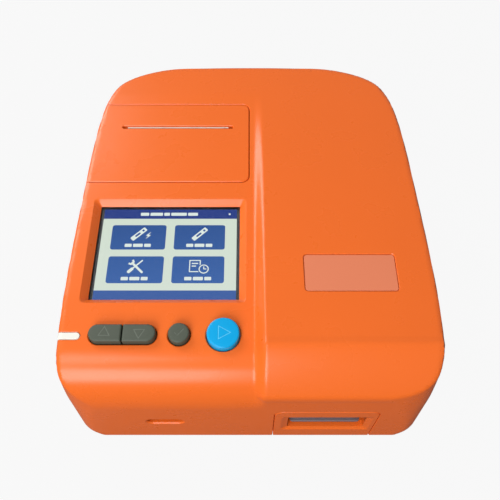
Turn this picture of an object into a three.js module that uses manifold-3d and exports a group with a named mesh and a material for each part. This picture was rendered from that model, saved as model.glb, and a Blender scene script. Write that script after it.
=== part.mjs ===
// Desk-top reader for assay cards: a two-part plastic housing with a display, keys, a slip printer
// under a hinged cover, and a motor-driven card tray behind a port in the front face.
// Millimetres, X to the right, Y to the rear, Z up, origin on the table under the middle of the body.
import * as THREE from "three";
import { mergeVertices } from "three/addons/utils/BufferGeometryUtils.js";
import Module from "manifold-3d";

const wasm = await Module();
wasm.setup();

// Fits that all pieces share
const wall = 2.5;
const coverWall = 3;
const fit = 0.3;
const run = 0.4;
const overrun = 40;

// Body
const bodyWidth = 179.2;
const bodyDepth = 201.6;
const rearHeight = 92;
const skirtHeight = 4;
const lobeFall = 3;
const panelFall = 5.5;
const meetFromRear = 24.4;
const faceLean = 3.5;
const creaseSetback = 17.5;
const noseHeight = 64.5;
const creaseBulge = 1.5;
const rollSetback = 20.8;
const rollFoot = 48;
const rollPullShare = 0.6;
const stepFoot = 2.3;
const stepTop = 8.1;
const stepStations = 6;
const curveSteps = 8;
const stepThickeningShare = 0.6;
// Half of the plan outline, rear middle to front corner, as shares of half the width and half the depth
const planShares = [
  [0, 1], [0.25, 0.998], [0.505, 0.989], [0.625, 0.966], [0.742, 0.926], [0.817, 0.884], [0.867, 0.838],
  [0.905, 0.768], [0.932, 0.689], [0.957, 0.54], [0.974, 0.331], [0.985, 0.064], [0.996, -0.244], [1, -0.45],
  [0.9985, -0.62], [0.99, -0.77], [0.98, -0.865], [0.955, -0.928], [0.905, -0.966], [0.83, -0.989], [0.74, -1],
];
const planStepsPerShare = 2;

// Feet and housing screws
const footHeight = 3;
const footRadius = 7;
const footSoleShare = 0.92;
const footInsetX = 24;
const footInsetY = 31;
const floorThickness = 2.5;
const rimHeight = 9;
const rimThickness = 2;
const bossRadius = 3.6;
const screwRadius = 1.4;
const screwGrip = 9;
const screwHeadRadius = 2.9;
const screwHeadHeight = 1.7;
const screwCupRadius = 5.4;
const frontBossSetback = 12.6;
const rearBossSetback = 18;
const frontBossInset = 16.6;
const rearBossInset = 24.6;

// Display, in the panel's own frame
const windowLeft = -81.3;
const windowRight = -1.4;
const windowFront = -58.2;
const windowRear = 1.9;
const windowDepth = 3.2;
const windowSideBevel = 3.3;
const windowEndBevel = 2.9;
const frameLip = 2;
const glassThickness = 1.2;
const glassMargin = 1.3;
const moduleThickness = 3.4;
const moduleMargin = 0.8;
const bracketThickness = 1.6;
const bracketPost = 3.2;
const ribbonWidth = 20;
const ribbonThickness = 0.4;

// Keys
const keyRowV = -74.8;
const keyProud = 3.2;
const keyTravel = 1.2;
const keyLip = 1;
const keyLipThickness = 1.2;
const keyBevel = 0.6;
const pillLeft = -74.1;
const pillRight = -42.9;
const pillWidth = 8.6;
const pillSplitX = -58.5;
const pillSplitGap = 0.5;
const okKeyX = -32.3;
const okKeyRadius = 4.95;
const startKeyX = -11.8;
const startKeyRadius = 7.65;
const membraneThickness = 0.8;
const boardThickness = 1.6;
const keyBoardOverhang = 2.5;
const keyPostRadius = 1.8;

// Light bar
const lightBarLength = 11.1;
const lightBarV = -75.2;
const lightBarWidth = 3.4;
const lightBarDrop = 6;

// Name plate on the lobe
const plateInset = 62.6;
const plateWidth = 44.2;
const plateFront = -55;
const plateLength = 20.1;
const plateRecess = 1.1;
const plateThickness = 0.5;
const plateCorner = 1.5;

// Printer cover and hinge
const coverFront = 13.3;
const coverRear = 68.8;
const coverRight = 0;
const coverCorner = 4;
const coverCornerSteps = 6;
const coverFlap = 10;
const hingePinRadius = 0.6;
const hingePinGrip = 4;
const hingeBossReach = 6;
const hingeBossWidth = 7;
const hingeBossDepth = 4.5;
const slotLeft = -72;
const slotRight = -9;
const slotV = 51.8;
const slotWidth = 1.9;

// Printer inside the cover
const frameWall = 1.5;
const frameLeft = -78.5;
const frameRight = -8.6;
const frameDepth = 43.5;
const frameFlange = 5.5;
const frameFlangeThickness = 2;
const flangeInset = 5;
const paperWidth = 57.5;
const paperThickness = 0.3;
const paperTipDrop = 0.4;
const rollRadius = 15;
const rollCoreRadius = 6.2;
const rollV = 31.7;
const rollN = -26;
const spindlePinRadius = 2.5;
const cheekLeft = -72.2;
const cheekThickness = 1.6;
const platenRadius = 4.5;
const platenShaftRadius = 1.5;
const platenN = -13;
const gearModule = 0.8;
const gearWidth = 3;
const gearCheekGap = 1;
const platenTeeth = 14;
const idlerTeeth = 17;
const printerPinionTeeth = 10;
const idlerPinRadius = 1;
const printerMotorRadius = 6.5;
const printerMotorLength = 22;
const motorShaftRadius = 1;
const gearTrainSlope = -64;
const headThickness = 4;
const headHeight = 10;
const springThickness = 0.5;
const bendSteps = 3;
// Turns of the leaf spring behind the print head: across the gap, then up as a share of half the head
const springShares = [[0, -0.9], [0, 0.9], [0.5, 0.2], [1, 0.9], [1, -0.9]];
// Tooth form of every gear and rack, in modules and in shares of a tooth's step
const tipShare = 0.9;
const rootShare = 1.15;
const tipHalfShare = 0.12;
const rootHalfShare = 0.28;

// Card port, tray and drive
const portLeft = 12.9;
const portRight = 64.2;
const portTop = 44;
const portCorner = 5;
const recessLeft = 15.9;
const recessRight = 61.5;
const recessBottom = 16.3;
const recessTop = 36.2;
const mouthLeft = 19.7;
const mouthRight = 59.1;
const mouthBottom = 17.5;
const mouthTop = 33;
const mouthDepth = 3.2;
const tunnelWall = 1.6;
const tunnelDepth = 8;
const trayWidth = 36.6;
const trayLength = 86;
const trayHeight = 7.4;
const trayFloor = 3;
const traySetback = 4.6;
const cardWidth = 24;
const cardLength = 70;
const railHeight = 18.1;
const railBase = 12;
const railPlate = 2;
const railWidth = 5.4;
const railWall = 1.7;
const railTop = 31;
const railLip = 2.4;
const railLipThickness = 1.6;
const guideLength = 112;
const guideLeg = 6;
const rackWidth = 4.2;
const rackLift = 1.6;
const rackBacking = 1.2;
const pinionTeeth = 20;
const pinionFromFront = 20;
const driveShaftRadius = 1;
const trayMotorRadius = 5;
const sensorLength = 8;
const sensorHeight = 9;

// Optical head over the tray
const headFront = -52;
const headLength = 28;
const headWidth = 31;
const headTall = 19;
const headFlange = 3;
const headBore = 6;
const headAperture = 4;
const lensThickness = 2.6;
const detectorMargin = 1.5;

// Slot for the code chip in the front face
const chipLeft = -51.5;
const chipWidth = 18.5;
const chipBottom = 25.6;
const chipHeight = 6.4;
const chipTunnelWall = 1.6;
const chipTunnelDepth = 9;
const chipSocketDepth = 12;
const chipLeg = 3;

// Boards, battery and rear ports
const boardHeight = 12;
const postRadius = 2.6;
const mainBoardLeft = -74;
const mainBoardRight = -6;
const mainBoardFront = -6;
const mainBoardRear = 74;
const boardPostInset = 4;
const shieldWidth = 24;
const shieldHeight = 3;
const shieldX = -52;
const shieldY = 30;
const buzzerRadius = 6;
const buzzerHeight = 9;
const buzzerX = -18;
const buzzerY = 10;
const cellRadius = 9.2;
const cellLength = 67;
const batteryLeft = -76;
const batteryFront = -58;
const bayLeft = 8;
const bayRight = 57;
const bayBottom = 16;
const bayTop = 34;
const bayFaceSetback = 6.3;
const bayFrame = 3;
const ioBoardFront = 66;
const usbX = 18;
const usbWidth = 13;
const usbHeight = 5.8;
const usbDepth = 15;
const usbShell = 0.6;
const inletX = 33;
const inletRadius = 4.4;
const inletBore = 2.9;
const inletPinRadius = 1;
const inletDepth = 12;
const ioBoardHeight = 16;
const portAxisRise = 5.9;
const switchX = 47;
const switchWidth = 13;
const switchHeight = 8.6;
const switchDepth = 11;
const switchWall = 1.2;
const rockerThrow = 8;
const rockerWell = 5;
const rockerDepth = 3.6;
const rockerFront = 2.6;
const rockerDip = 0.7;

// Helpers that make and combine closed shapes
const radians = THREE.MathUtils.degToRad;
const slope = (degrees) => Math.tan(radians(degrees));
const roundSides = 16;

function loft(rings) {
  // Closed skin through rings of points, each counter-clockwise about the direction the rings follow
  const size = rings[0].length;
  const last = rings.length - 1;
  const points = rings.flat();
  const faces = [];
  for (let ring = 0; ring < last; ring += 1) {
    for (let i = 0; i < size; i += 1) {
      const next = (i + 1) % size;
      const [a, b, c, d] = [ring * size + i, ring * size + next, (ring + 1) * size + next, (ring + 1) * size + i];
      faces.push(a, b, c, a, c, d);
    }
  }
  for (const [ring, flip] of [[0, true], [last, false]]) {
    const middle = new THREE.Vector3();
    rings[ring].forEach((point) => middle.addScaledVector(point, 1 / size));
    points.push(middle);
    for (let i = 0; i < size; i += 1) {
      const [from, to] = [ring * size + i, ring * size + (i + 1) % size];
      faces.push(points.length - 1, flip ? to : from, flip ? from : to);
    }
  }
  const geometry = new THREE.BufferGeometry();
  geometry.setAttribute("position", new THREE.Float32BufferAttribute(points.flatMap((p) => p.toArray()), 3));
  geometry.setIndex(faces);
  return geometry;
}

const bases = {
  x: [[0, 1, 0], [0, 0, 1], [1, 0, 0]],
  y: [[1, 0, 0], [0, 0, 1], [0, -1, 0]],
  z: [[1, 0, 0], [0, 1, 0], [0, 0, 1]],
};

function slab(axis, outline, span) {
  // Straight extrusion: the outline lies in (Y, Z), (X, Z) or (X, Y) and the span runs along the axis
  const [low, high] = span;
  const shape = new THREE.Shape(outline.map(([a, b]) => new THREE.Vector2(a, b)));
  const geometry = new THREE.ExtrudeGeometry(shape, { depth: high - low, bevelEnabled: false });
  const turn = new THREE.Matrix4().makeBasis(...bases[axis].map((column) => new THREE.Vector3(...column)));
  geometry.applyMatrix4(turn);
  const start = new THREE.Vector3(axis === "x" ? low : 0, axis === "y" ? high : 0, axis === "z" ? low : 0);
  return geometry.translate(...start.toArray());
}

const rectangle = ([a0, a1], [b0, b1]) => [[a0, b0], [a1, b0], [a1, b1], [a0, b1]];
const block = (x, y, z) => slab("z", rectangle(x, y), z);

function circle([a, b], radius, sides = roundSides) {
  return Array.from({ length: sides }, (_, i) => {
    const angle = ((i + 0.5) / sides) * 2 * Math.PI;
    return [a + radius * Math.cos(angle), b + radius * Math.sin(angle)];
  });
}

const rod = (axis, centre, radius, span, sides) => slab(axis, circle(centre, radius, sides), span);

function roundedRectangle([a0, a1], [b0, b1], radii, steps = 3) {
  // Radii run counter-clockwise from the corner with the lowest coordinates, and 0 keeps a corner sharp
  const corners = [[a0, b0, 1, 1, 180], [a1, b0, -1, 1, 270], [a1, b1, -1, -1, 0], [a0, b1, 1, -1, 90]];
  return corners.flatMap(([a, b, inA, inB, start], corner) => {
    const radius = radii[corner];
    if (radius === 0) return [[a, b]];
    return Array.from({ length: steps + 1 }, (_, i) => {
      const angle = radians(start + (90 * i) / steps);
      return [a + radius * (inA + Math.cos(angle)), b + radius * (inB + Math.sin(angle))];
    });
  });
}

const evenRectangle = (a, b, radius, steps) => roundedRectangle(a, b, [radius, radius, radius, radius], steps);
const grow = ([low, high], by) => [low - by, high + by];

function frustum(lowerOutline, low, upperOutline, high) {
  // Straight-sided taper along Z between two outlines with as many points
  const ring = (outline, z) => outline.map(([x, y]) => new THREE.Vector3(x, y, z));
  return loft([ring(lowerOutline, low), ring(upperOutline, high)]);
}

function insetLoop(points, distance) {
  // Moves a counter-clockwise loop inwards by a distance, with mitred corners
  return points.map(([a, b], i) => {
    const [beforeA, beforeB] = points[(i + points.length - 1) % points.length];
    const [afterA, afterB] = points[(i + 1) % points.length];
    const before = new THREE.Vector2(a - beforeA, b - beforeB).normalize();
    const after = new THREE.Vector2(afterA - a, afterB - b).normalize();
    const stretch = distance / (1 + before.dot(after));
    return [a - (before.y + after.y) * stretch, b + (before.x + after.x) * stretch];
  });
}

function solid(shape) {
  if (!shape.isBufferGeometry) return shape;
  const bare = shape.clone();
  bare.deleteAttribute("normal");
  bare.deleteAttribute("uv");
  const merged = mergeVertices(bare);
  const mesh = new wasm.Mesh({
    numProp: 3,
    vertProperties: new Float32Array(merged.attributes.position.array),
    triVerts: new Uint32Array(merged.index.array),
  });
  return new wasm.Manifold(mesh);
}

const join = (...shapes) => shapes.map(solid).reduce((whole, piece) => whole.add(piece));
const cut = (base, ...tools) => tools.map(solid).reduce((whole, tool) => whole.subtract(tool), solid(base));
const common = (...shapes) => shapes.map(solid).reduce((whole, piece) => whole.intersect(piece));

function piece(parent, name, shape, material) {
  let geometry = shape;
  if (!shape.isBufferGeometry) {
    const mesh = shape.getMesh();
    geometry = new THREE.BufferGeometry();
    geometry.setAttribute("position", new THREE.BufferAttribute(new Float32Array(mesh.vertProperties), 3));
    geometry.setIndex(new THREE.BufferAttribute(new Uint32Array(mesh.triVerts), 1));
    geometry.computeVertexNormals();
  }
  const made = new THREE.Mesh(geometry, material);
  made.name = name;
  parent.add(made);
  return made;
}

function finish(color, roughness, metalness = 0) {
  return new THREE.MeshStandardMaterial({ color, roughness, metalness, flatShading: true });
}

const orangePlastic = finish(0xf4752f, 0.42);
const darkPlastic = finish(0x2b2c2e, 0.5);
const greyPlastic = finish(0x8d8488, 0.5);
const whitePlastic = finish(0xe9e9e4, 0.45);
const keyRubber = finish(0x525a4d, 0.55);
const startPlastic = finish(0x0ab4f0, 0.35);
const footRubber = finish(0x26262a, 0.85);
const labelFilm = finish(0xe8875f, 0.5);
const glowPlastic = finish(0xffffff, 0.4);
const coverGlass = finish(0x0a0c12, 0.1);
const moduleMetal = finish(0x9aa0a8, 0.4, 0.8);
const steel = finish(0xb9bcc0, 0.3, 1);
const circuitBoard = finish(0x1f6a3c, 0.55);
const paper = finish(0xf2efe6, 0.85);
const lensGlass = finish(0xcfe3ee, 0.05);

// The body's outer surfaces and the panel's own frame
const halfWidth = bodyWidth / 2;
const halfDepth = bodyDepth / 2;
const meetY = halfDepth - meetFromRear;
const lobeHeight = (y) => rearHeight - slope(lobeFall) * (halfDepth - y);
const panelHeight = (y) => lobeHeight(meetY) - slope(panelFall) * (meetY - y);
const faceY = (z) => -halfDepth + slope(faceLean) * (noseHeight - z);

function planOutline(inset) {
  const right = planShares.map(([x, y]) => new THREE.Vector3(x * halfWidth, y * halfDepth, 0));
  const left = right.slice(1).reverse().map((point) => new THREE.Vector3(-point.x, point.y, 0));
  const curve = new THREE.CatmullRomCurve3([...left, ...right], false, "centripetal");
  const points = curve.getPoints(planStepsPerShare * (left.length + right.length - 1));
  return insetLoop(points.reverse().map((point) => [point.x, point.y]), inset);
}

function frontCurve(curve) {
  return curve.getPoints(curveSteps).map((point) => [point.x, point.y]);
}

function sideProfile(curvePoints, inset) {
  const rear = halfDepth + overrun;
  const loop = [
    [faceY(-overrun), -overrun],
    [rear, -overrun],
    [rear, lobeHeight(rear)],
    [meetY, lobeHeight(meetY)],
    ...curvePoints,
  ];
  return insetLoop(loop, inset);
}

function lobeProfile(inset) {
  const crease = new THREE.Vector2(creaseSetback - halfDepth, lobeHeight(creaseSetback - halfDepth));
  const nose = new THREE.Vector2(faceY(noseHeight), noseHeight);
  const across = new THREE.Vector2().subVectors(nose, crease);
  const outward = new THREE.Vector2(across.y, -across.x).normalize();
  const pull = crease.clone().add(nose).multiplyScalar(1 / 2).addScaledVector(outward, 2 * creaseBulge);
  return sideProfile(frontCurve(new THREE.QuadraticBezierCurve(crease, pull, nose)), inset);
}

function panelProfile(inset) {
  const start = new THREE.Vector2(rollSetback - halfDepth, panelHeight(rollSetback - halfDepth));
  const end = new THREE.Vector2(faceY(rollFoot), rollFoot);
  const alongPanel = new THREE.Vector2(-1, -slope(panelFall)).multiplyScalar(start.x - end.x);
  const alongFace = new THREE.Vector2(-slope(faceLean), 1).multiplyScalar(start.y - end.y);
  const leave = start.clone().addScaledVector(alongPanel, rollPullShare);
  const arrive = end.clone().addScaledVector(alongFace, rollPullShare);
  return sideProfile(frontCurve(new THREE.CubicBezierCurve(start, leave, arrive, end)), inset);
}

function bodySolid(inset, bottom) {
  // Plan outline raised to the two falling top surfaces, which meet in a smooth step
  const [left, right] = [panelProfile(inset), lobeProfile(inset)];
  const shift = inset * stepThickeningShare;
  const stations = [[-halfWidth - overrun, 0]];
  for (let i = 0; i <= stepStations; i += 1) {
    const share = i / stepStations;
    stations.push([stepFoot + shift + share * (stepTop - stepFoot), THREE.MathUtils.smoothstep(share, 0, 1)]);
  }
  stations.push([halfWidth + overrun, 1]);
  const rings = stations.map(([x, blend]) => left.map(([y, z], i) => new THREE.Vector3(
    x,
    THREE.MathUtils.lerp(y, right[i][0], blend),
    THREE.MathUtils.lerp(z, right[i][1], blend),
  )));
  return common(loft(rings), slab("z", planOutline(inset), [bottom, rearHeight + overrun]));
}

const panel = new THREE.Group();
panel.position.set(0, 0, panelHeight(0));
panel.rotation.x = radians(panelFall);
panel.updateMatrix();
const lobeTop = new THREE.Group();
lobeTop.position.set(0, 0, lobeHeight(0));
lobeTop.rotation.x = radians(lobeFall);
lobeTop.updateMatrix();
const onPanel = (shape) => shape.applyMatrix4(panel.matrix);
const onLobe = (shape) => shape.applyMatrix4(lobeTop.matrix);

const outerBody = bodySolid(0, skirtHeight);
const innerBody = bodySolid(wall, -overrun);
const throughWall = [-2 * wall, overrun];

// Housing shells
const coverOutline = (by) => roundedRectangle(
  [-halfWidth - overrun, coverRight + by],
  grow([coverFront, coverRear], by),
  [0, coverCorner + by, coverCorner + by, 0],
  coverCornerSteps,
);
const coverZone = (by) => onPanel(slab("z", coverOutline(by), [-coverFlap - by, overrun]));
// The hinge line runs through the centres of the cover's right-hand corners, so its edge turns clear
const hingeU = coverRight - coverCorner;
const hingeN = -coverWall / 2;
const hingeSpan = grow([coverFront, coverRear], run + hingePinGrip);
const hingeCentre = [hingeU, hingeN];
const hingeBore = onPanel(rod("y", hingeCentre, hingePinRadius + fit, grow(hingeSpan, fit)));
const lightBarZone = (by) => {
  const across = grow([lightBarV - lightBarWidth / 2, lightBarV + lightBarWidth / 2], by);
  const round = lightBarWidth / 2 + by;
  const outline = roundedRectangle([-halfWidth - overrun, lightBarLength + by - halfWidth], across, [0, round, round, 0]);
  return onPanel(slab("z", outline, [-lightBarDrop - by, overrun]));
};
const pillSpanV = [keyRowV - pillWidth / 2, keyRowV + pillWidth / 2];
const pillOutline = (by) => evenRectangle(
  grow([pillLeft, pillRight], by),
  grow(pillSpanV, by),
  pillWidth / 2 + by,
  4,
);
const roundKeys = { ok_key: [okKeyX, okKeyRadius], start_key: [startKeyX, startKeyRadius] };
const plateLeft = halfWidth - plateInset;
const plateOutline = (by) => evenRectangle(
  grow([plateLeft, plateLeft + plateWidth], by),
  grow([plateFront, plateFront + plateLength], by),
  plateCorner + by,
);
const floorTop = footHeight + floorThickness;
const screwSeat = footHeight + screwHeadHeight;
const cupTop = screwSeat + floorThickness;
const bossBottom = cupTop + fit;
const bossPlaces = {
  front_left: [frontBossInset - halfWidth, frontBossSetback - halfDepth],
  front_right: [halfWidth - frontBossInset, frontBossSetback - halfDepth],
  rear_left: [rearBossInset - halfWidth, halfDepth - rearBossSetback],
  rear_right: [halfWidth - rearBossInset, halfDepth - rearBossSetback],
};
const screwBore = screwRadius + fit;

function windowCutters() {
  const [across, along] = [[windowLeft, windowRight], [windowFront, windowRear]];
  const sill = rectangle(grow(across, -windowSideBevel), grow(along, -windowEndBevel));
  const flared = rectangle(grow(across, windowSideBevel), grow(along, windowEndBevel));
  return [
    onPanel(frustum(sill, -windowDepth, flared, windowDepth)),
    onPanel(slab("z", sill, [-2 * windowDepth, -windowDepth / 2])),
  ];
}

function windowFrame() {
  const across = grow([windowLeft, windowRight], frameLip);
  const along = grow([windowFront, windowRear], frameLip);
  return onPanel(block(across, along, [-windowDepth, -wall / 2]));
}

function frontTunnel([low, high], [bottom, top], thickness, depth) {
  const face = faceY((bottom + top) / 2);
  return block(grow([low, high], thickness), [-halfDepth - wall, face + depth], grow([bottom, top], thickness));
}

const chipSpan = [chipLeft, chipLeft + chipWidth];
const chipRise = [chipBottom, chipBottom + chipHeight];
const bayFace = halfDepth - bayFaceSetback;
const bayRear = [bayFace - bayFrame, halfDepth + overrun];

function hingeBosses() {
  const across = grow([hingeU, hingeU], hingeBossWidth / 2);
  const rise = [-hingeBossDepth, -wall / 2];
  const [low, high] = grow([coverFront, coverRear], run);
  return [
    onPanel(block(across, [low - hingeBossReach, low], rise)),
    onPanel(block(across, [high, high + hingeBossReach], rise)),
  ];
}


// Heights below the panel's surface of what lies under the keys
const keyBottom = -wall - fit - keyLipThickness;
const membraneTop = keyBottom - keyTravel - fit;
const keyBoardTop = membraneTop - membraneThickness - fit;
const membraneSpan = [pillLeft - keyLip, startKeyX + startKeyRadius + keyLip];
const membraneV = grow([keyRowV, keyRowV], startKeyRadius + keyLip);
const keyBoardSpan = [membraneSpan[0] - keyBoardOverhang, membraneSpan[1] + keyBoardOverhang];
const keyPostPlaces = [keyBoardSpan[0] + keyPostRadius, okKeyX - okKeyRadius - 2 * keyPostRadius].map((u) => (
  [u, membraneV[0] + keyPostRadius]
));
const keyPosts = () => keyPostPlaces.map((place) => (
  onPanel(rod("z", place, keyPostRadius, [keyBoardTop + fit, -wall / 2], roundSides / 2))
));

function upperHousing() {
  const bosses = Object.values(bossPlaces).map((place) => (
    rod("z", place, bossRadius, [bossBottom, rearHeight + overrun])
  ));
  const bayBlock = block(grow([bayLeft, bayRight], bayFrame), bayRear, grow([bayBottom, bayTop], bayFrame));
  const chipTunnel = frontTunnel(chipSpan, chipRise, chipTunnelWall, chipTunnelDepth);
  const ribs = join(windowFrame(), chipTunnel, bayBlock, ...bosses, ...hingeBosses(), ...keyPosts());
  const shell = join(cut(outerBody, innerBody), common(ribs, outerBody));
  const screwHoles = Object.values(bossPlaces).map((place) => (
    rod("z", place, screwBore, [0, bossBottom + screwGrip + fit], roundSides / 2)
  ));
  const keyHoles = Object.values(roundKeys).map(([u, radius]) => (
    onPanel(rod("z", [u, keyRowV], radius + run, throughWall, 2 * roundSides))
  ));
  const chipSlot = evenRectangle(chipSpan, chipRise, chipHeight / 2);
  return cut(
    shell,
    coverZone(run),
    hingeBore,
    lightBarZone(fit),
    ...windowCutters(),
    onPanel(slab("z", pillOutline(run), throughWall)),
    ...keyHoles,
    ...screwHoles,
    onLobe(slab("z", plateOutline(fit), [-plateRecess, overrun])),
    portZone(fit),
    slab("y", chipSlot, [-halfDepth - overrun, faceY(chipBottom) + 2 * chipTunnelDepth]),
    block([bayLeft, bayRight], [bayFace, halfDepth + overrun], [bayBottom, bayTop]),
    ...rearHoles(),
  );
}

const everywhere = (rise) => block(grow([0, 0], bodyWidth), grow([0, 0], bodyDepth), rise);

function lowerHousing() {
  const inside = bodySolid(wall + fit, footHeight);
  const floor = common(inside, everywhere([footHeight, floorTop]));
  const rim = cut(
    common(inside, everywhere([footHeight, footHeight + rimHeight])),
    bodySolid(wall + fit + rimThickness, 0),
  );
  const cups = Object.values(bossPlaces).map((place) => rod("z", place, screwCupRadius, [footHeight, cupTop]));
  const posts = boardPosts.map(([x, y, top]) => rod("z", [x, y], postRadius, [footHeight, top], roundSides / 2));
  const sinks = Object.values(bossPlaces).map((place) => (
    rod("z", place, screwHeadRadius + fit, [0, screwSeat])
  ));
  const holes = Object.values(bossPlaces).map((place) => (
    rod("z", place, screwBore, [0, overrun], roundSides / 2)
  ));
  return cut(join(floor, rim, ...cups, ...posts), ...sinks, ...holes);
}

function screwShape([x, y]) {
  const shankTop = bossBottom + screwGrip;
  const head = rod("z", [x, y], screwHeadRadius, [footHeight, screwSeat]);
  return join(head, rod("z", [x, y], screwRadius, [footHeight, shankTop], roundSides / 2));
}

// Boards on the floor, and the sockets in the rear bay
const portHeight = ioBoardHeight + boardThickness;
const portAxis = portHeight + portAxisRise;
const ioBoardRear = bayFace - bayFrame - 2 * run;
const ioBoardSpan = [bayLeft, bayRight - switchWidth];
const insideCorners = ([x0, x1], [y0, y1], top) => (
  [x0 + boardPostInset, x1 - boardPostInset].flatMap((x) => (
    [y0 + boardPostInset, y1 - boardPostInset].map((y) => [x, y, top])
  ))
);
const boardPosts = [
  ...insideCorners([mainBoardLeft, mainBoardRight], [mainBoardFront, mainBoardRear], boardHeight),
  ...insideCorners(ioBoardSpan, [ioBoardFront, ioBoardRear], ioBoardHeight),
];
const usbRise = [portHeight, portHeight + usbHeight];
const usbSpan = [usbX - usbWidth / 2, usbX + usbWidth / 2];
const switchSpan = [switchX - switchWidth / 2, switchX + switchWidth / 2];
const switchRise = [portAxis - switchHeight / 2, portAxis + switchHeight / 2];
const throughBay = [bayFace - 2 * bayFrame, halfDepth];
const rearHoles = () => [
  block(grow(usbSpan, fit), throughBay, grow(usbRise, fit)),
  rod("y", [inletX, portAxis], inletRadius + fit, throughBay),
  block(grow(switchSpan, fit), throughBay, grow(switchRise, fit)),
];

// Surround of the card port
const portOutline = (by) => roundedRectangle(
  grow([portLeft, portRight], by),
  [-overrun, portTop + by],
  [0, 0, portCorner + by, portCorner + by],
);
const portZone = (by) => slab("y", portOutline(by), [-halfDepth - overrun, mouthDepth + 2 * wall - halfDepth]);
const mouthFace = faceY((mouthBottom + mouthTop) / 2);

function portBezel() {
  const plate = cut(common(outerBody, portZone(0)), innerBody);
  const tunnel = frontTunnel([mouthLeft, mouthRight], [mouthBottom, mouthTop], tunnelWall, tunnelDepth);
  const ring = (outline, depth) => outline.map(([x, z]) => new THREE.Vector3(x, faceY(z) + depth, z));
  const inner = ring(rectangle([mouthLeft, mouthRight], [mouthBottom, mouthTop]), mouthDepth);
  const outer = ring(rectangle([recessLeft, recessRight], [recessBottom, recessTop]), 0);
  const flared = outer.map((point, i) => point.clone().multiplyScalar(2).sub(inner[i]));
  const throughMouth = [-halfDepth - overrun, mouthFace + 2 * tunnelDepth];
  return cut(
    join(plate, common(tunnel, outerBody)),
    loft([inner, flared]),
    block([mouthLeft, mouthRight], throughMouth, [mouthBottom, mouthTop]),
  );
}

const part = new THREE.Group();
part.add(panel, lobeTop);
piece(part, "upper_housing", upperHousing(), orangePlastic);
piece(part, "lower_housing", lowerHousing(), darkPlastic);
piece(part, "port_bezel", portBezel(), orangePlastic);
for (const [corner, place] of Object.entries(bossPlaces)) {
  piece(part, `housing_screw_${corner}`, screwShape(place), steel);
}
for (const [row, sideY] of [["front", -1], ["rear", 1]]) {
  for (const [side, sideX] of [["left", -1], ["right", 1]]) {
    const centre = [sideX * (halfWidth - footInsetX), sideY * (halfDepth - footInsetY)];
    const sole = circle(centre, footRadius * footSoleShare);
    piece(part, `foot_${row}_${side}`, frustum(sole, 0, circle(centre, footRadius), footHeight), footRubber);
  }
}

// Display under its window
const sillSpan = grow([windowLeft, windowRight], -windowSideBevel);
const sillRun = grow([windowFront, windowRear], -windowEndBevel);
const glassTop = -windowDepth - fit;
const moduleTop = glassTop - glassThickness - fit;
const bracketTop = moduleTop - moduleThickness - fit;
const bracketBottom = bracketTop - bracketThickness;
const fromFloor = (z, v) => (z - panelHeight(0) - v * Math.sin(radians(panelFall))) / Math.cos(radians(panelFall));

function band(points, thickness) {
  // Outline of a strip of even thickness that follows a line of points
  const sides = [1, -1].map((side) => points.map(([a, b], i) => {
    const [beforeA, beforeB] = points[Math.max(i - 1, 0)];
    const [afterA, afterB] = points[Math.min(i + 1, points.length - 1)];
    const along = new THREE.Vector2(afterA - beforeA, afterB - beforeB).normalize();
    return [a - (side * along.y * thickness) / 2, b + (side * along.x * thickness) / 2];
  }));
  return [...sides[0], ...sides[1].reverse()];
}

function displayBracket() {
  const across = grow([windowLeft, windowRight], frameLip);
  const along = grow([windowFront, windowRear], frameLip);
  const posts = [[across[0], along[0]], [across[0], along[1] - bracketPost], [across[1] - bracketPost, along[0]],
    [across[1] - bracketPost, along[1] - bracketPost]];
  const columns = posts.map(([u, v]) => block([u, u + bracketPost], [v, v + bracketPost], [bracketBottom, glassTop]));
  return join(block(across, along, [bracketBottom, bracketTop]), ...columns);
}

function displayRibbon() {
  const middle = (windowLeft + windowRight) / 2;
  const behind = windowRear + frameLip + 2 * run;
  const below = bracketBottom - fit - ribbonThickness / 2;
  const end = fromFloor(boardHeight + boardThickness + 2 * fit, behind);
  const route = [[windowRear - ribbonWidth, below], [behind - run, below], [behind, below - run], [behind, end]];
  return slab("x", band(route, ribbonThickness), grow([middle, middle], ribbonWidth / 2));
}

piece(panel, "display_glass", block(
  grow(sillSpan, glassMargin), grow(sillRun, glassMargin), [glassTop - glassThickness, glassTop],
), coverGlass);
piece(panel, "display_module", block(
  grow(sillSpan, moduleMargin), grow(sillRun, moduleMargin), [moduleTop - moduleThickness, moduleTop],
), moduleMetal);
piece(panel, "display_bracket", displayBracket(), darkPlastic);
piece(panel, "display_ribbon", displayRibbon(), labelFilm);

// Keys, the rubber sheet under them and their board
const keyLipSpan = [keyBottom, keyBottom + keyLipThickness];
const keyShoulder = keyProud - keyBevel;

function keyShape(outline) {
  // The outline is a function of how far it has grown
  return join(
    slab("z", outline(0), [keyBottom, keyShoulder]),
    frustum(outline(0), keyShoulder, outline(-keyBevel), keyProud),
    slab("z", outline(keyLip), keyLipSpan),
  );
}

function pillHalf(side) {
  const edge = pillSplitX + (side * pillSplitGap) / 2;
  const away = edge + side * overrun;
  const span = [Math.min(edge, away), Math.max(edge, away)];
  return common(keyShape(pillOutline), block(span, grow(pillSpanV, overrun), [-overrun, overrun]));
}

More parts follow.
